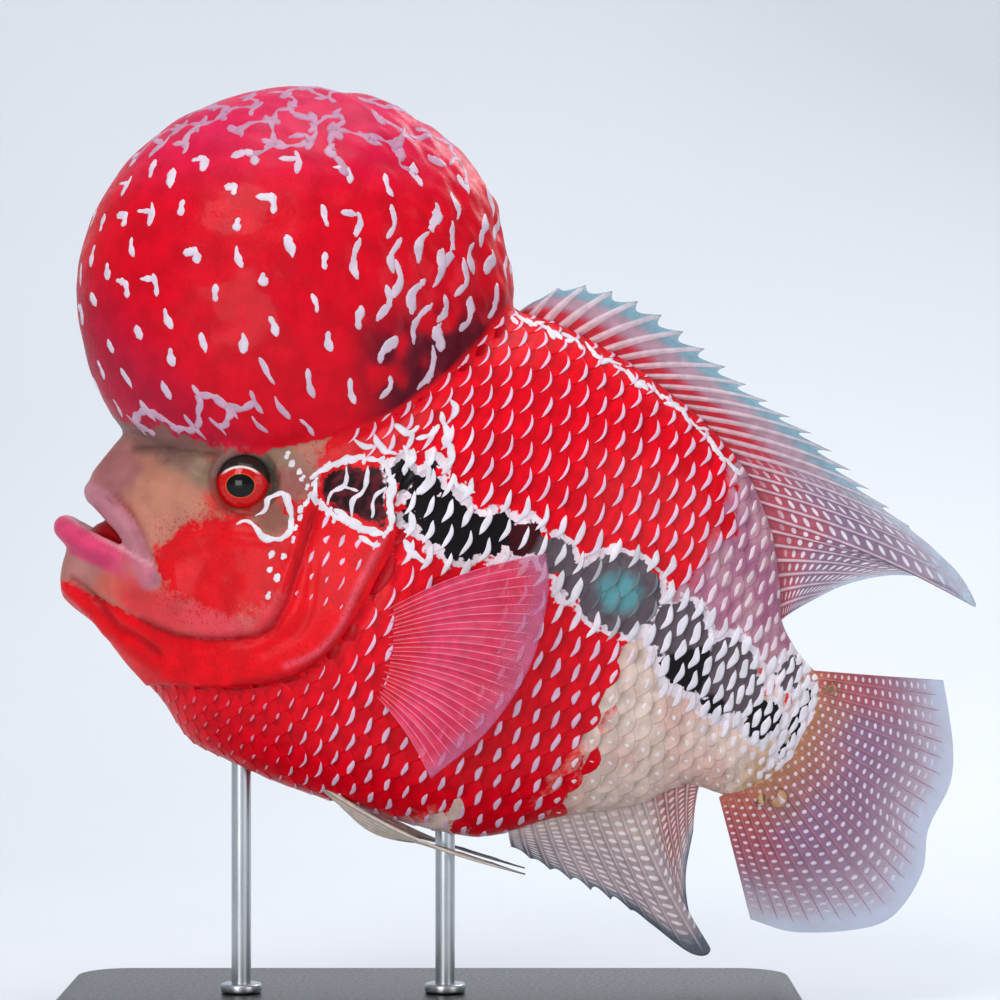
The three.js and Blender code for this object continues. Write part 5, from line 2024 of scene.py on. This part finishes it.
def anal_extra(w, colour, along, across):
    """A dark blue front edge and tip, and red streaks behind."""
    front = w.ramp(across, 4.0, 0.5)
    colour = w.mix(w.times(front, w.ramp(along, 0.35, 0.9)), colour, rgba("162E46"))
    middle = w.times(w.ramp(across, 3.0, 5.0), w.ramp(across, 12.0, 9.0))
    colour = w.mix(w.times(middle, w.ramp(along, 0.78, 1.0)), colour, rgba("1E3448"))
    rear = w.times(w.ramp(across, 10.5, 13.0), w.ramp(along, 0.9, 0.5))
    return w.mix(w.times(rear, 0.75), colour, rgba("A84A44"))


def caudal_extra(w, colour, along, across):
    """Gold at the root and red along both edges."""
    colour = w.mix(w.times(w.ramp(along, 0.16, 0.03), 0.8), colour, rgba("B0763C"))
    edge = w.math("MAXIMUM", w.ramp(across, 5.0, 2.0), w.ramp(across, 17.5, 21.0))
    edge = w.times(edge, w.ramp(along, 0.85, 0.35))
    return w.mix(w.times(edge, 0.6), colour, rgba("B23C38"))


# The whole model

make_camera()
make_studio()
mottle = mottle_group()
markings = marking_group()
ray_marks = ray_group()

skin = make_skin()
dress(skin, skin_material(), "red_skin",
      "head", "hump", "upper_lip", "lower_lip", "gill_cover_left", "gill_cover_right", "torso", "tail")
wet_scales = wet_material("wet_scales", 0.14, 260.0, 0.08, marked=True)
pearl_marks = wet_material("pearl_marks", 0.1, 300.0, 0.15, marked=False)
skin_tree, coats = make_scales(skin)
for scales, pearls in coats:
    scales.finish(wet_scales, "red_skin")
    pearls.finish(pearl_marks, "tail_skin")
for side, word in zip(SIDES, SIDE_WORDS):
    make_flank_marks(skin_tree, side, word).finish(pearl_marks, "tail_skin")
make_hump_marks(skin_tree).finish(pearl_marks, "tail_skin")
make_eyes(eye_material())

dorsal_clear = fin_material(
    "dorsal_membrane", ("B04A5C", "8A6E8A", "90A4BC", "DDC8D2", "EBE4EC"), dot_rows=17.0, dot_size=0.27,
    dot_start=0.04, alpha_tip=0.45, spiny=(15.0, 19.0), extra=dorsal_extra)
anal_clear = fin_material(
    "anal_membrane", ("C2ABA6", "A8949C", "46586E", "CDBEC0", "EAE2E4"), dot_rows=16.0, dot_size=0.3,
    dot_start=0.0, alpha_tip=0.75, extra=anal_extra)
caudal_clear = fin_material(
    "tail_membrane", ("A86A5C", "8A6284", "8E9CC0", "B47C88", "E0D4E0"), dot_rows=19.0, dot_size=0.24,
    dot_start=0.0, alpha_tip=0.4, ray_share=0.6, extra=caudal_extra)
pectoral_clear = fin_material(
    "pectoral_membrane", ("D40E2A", "D42A58", "B8608C", "EE8AA6", "E890B0"), dot_size=NO_DOTS, ray_width=0.14,
    ray_repeat=2.0, alpha_tip=0.42, ray_share=0.6)
pelvic_cream = fin_material(
    "pelvic_membrane", ("D2B0A0", "CDBFB2", "5C5C68", "E2D8CC", "E2D8CC"), dot_size=NO_DOTS, alpha_root=0.98,
    alpha_tip=0.85)
dress(dorsal_fin(), dorsal_clear, "fin_membrane", "dorsal_fin")
dress(anal_fin(), anal_clear, "fin_membrane", "anal_fin")
dress(caudal_fin(), caudal_clear, "fin_membrane", "caudal_fin")
for side, word in zip(SIDES, SIDE_WORDS):
    dress(pectoral_fin(side, word), pectoral_clear, "pectoral_membrane", "pectoral_fin_" + word)
    dress(pelvic_fin(side, word), pelvic_cream, "pelvic_membrane", "pelvic_fin_" + word)
make_base(satin_material("satin_black", "131315", 0.32))
make_rods(satin_material("brushed_steel", "B4B8BC", 0.3, metal=1.0, brushed=True))
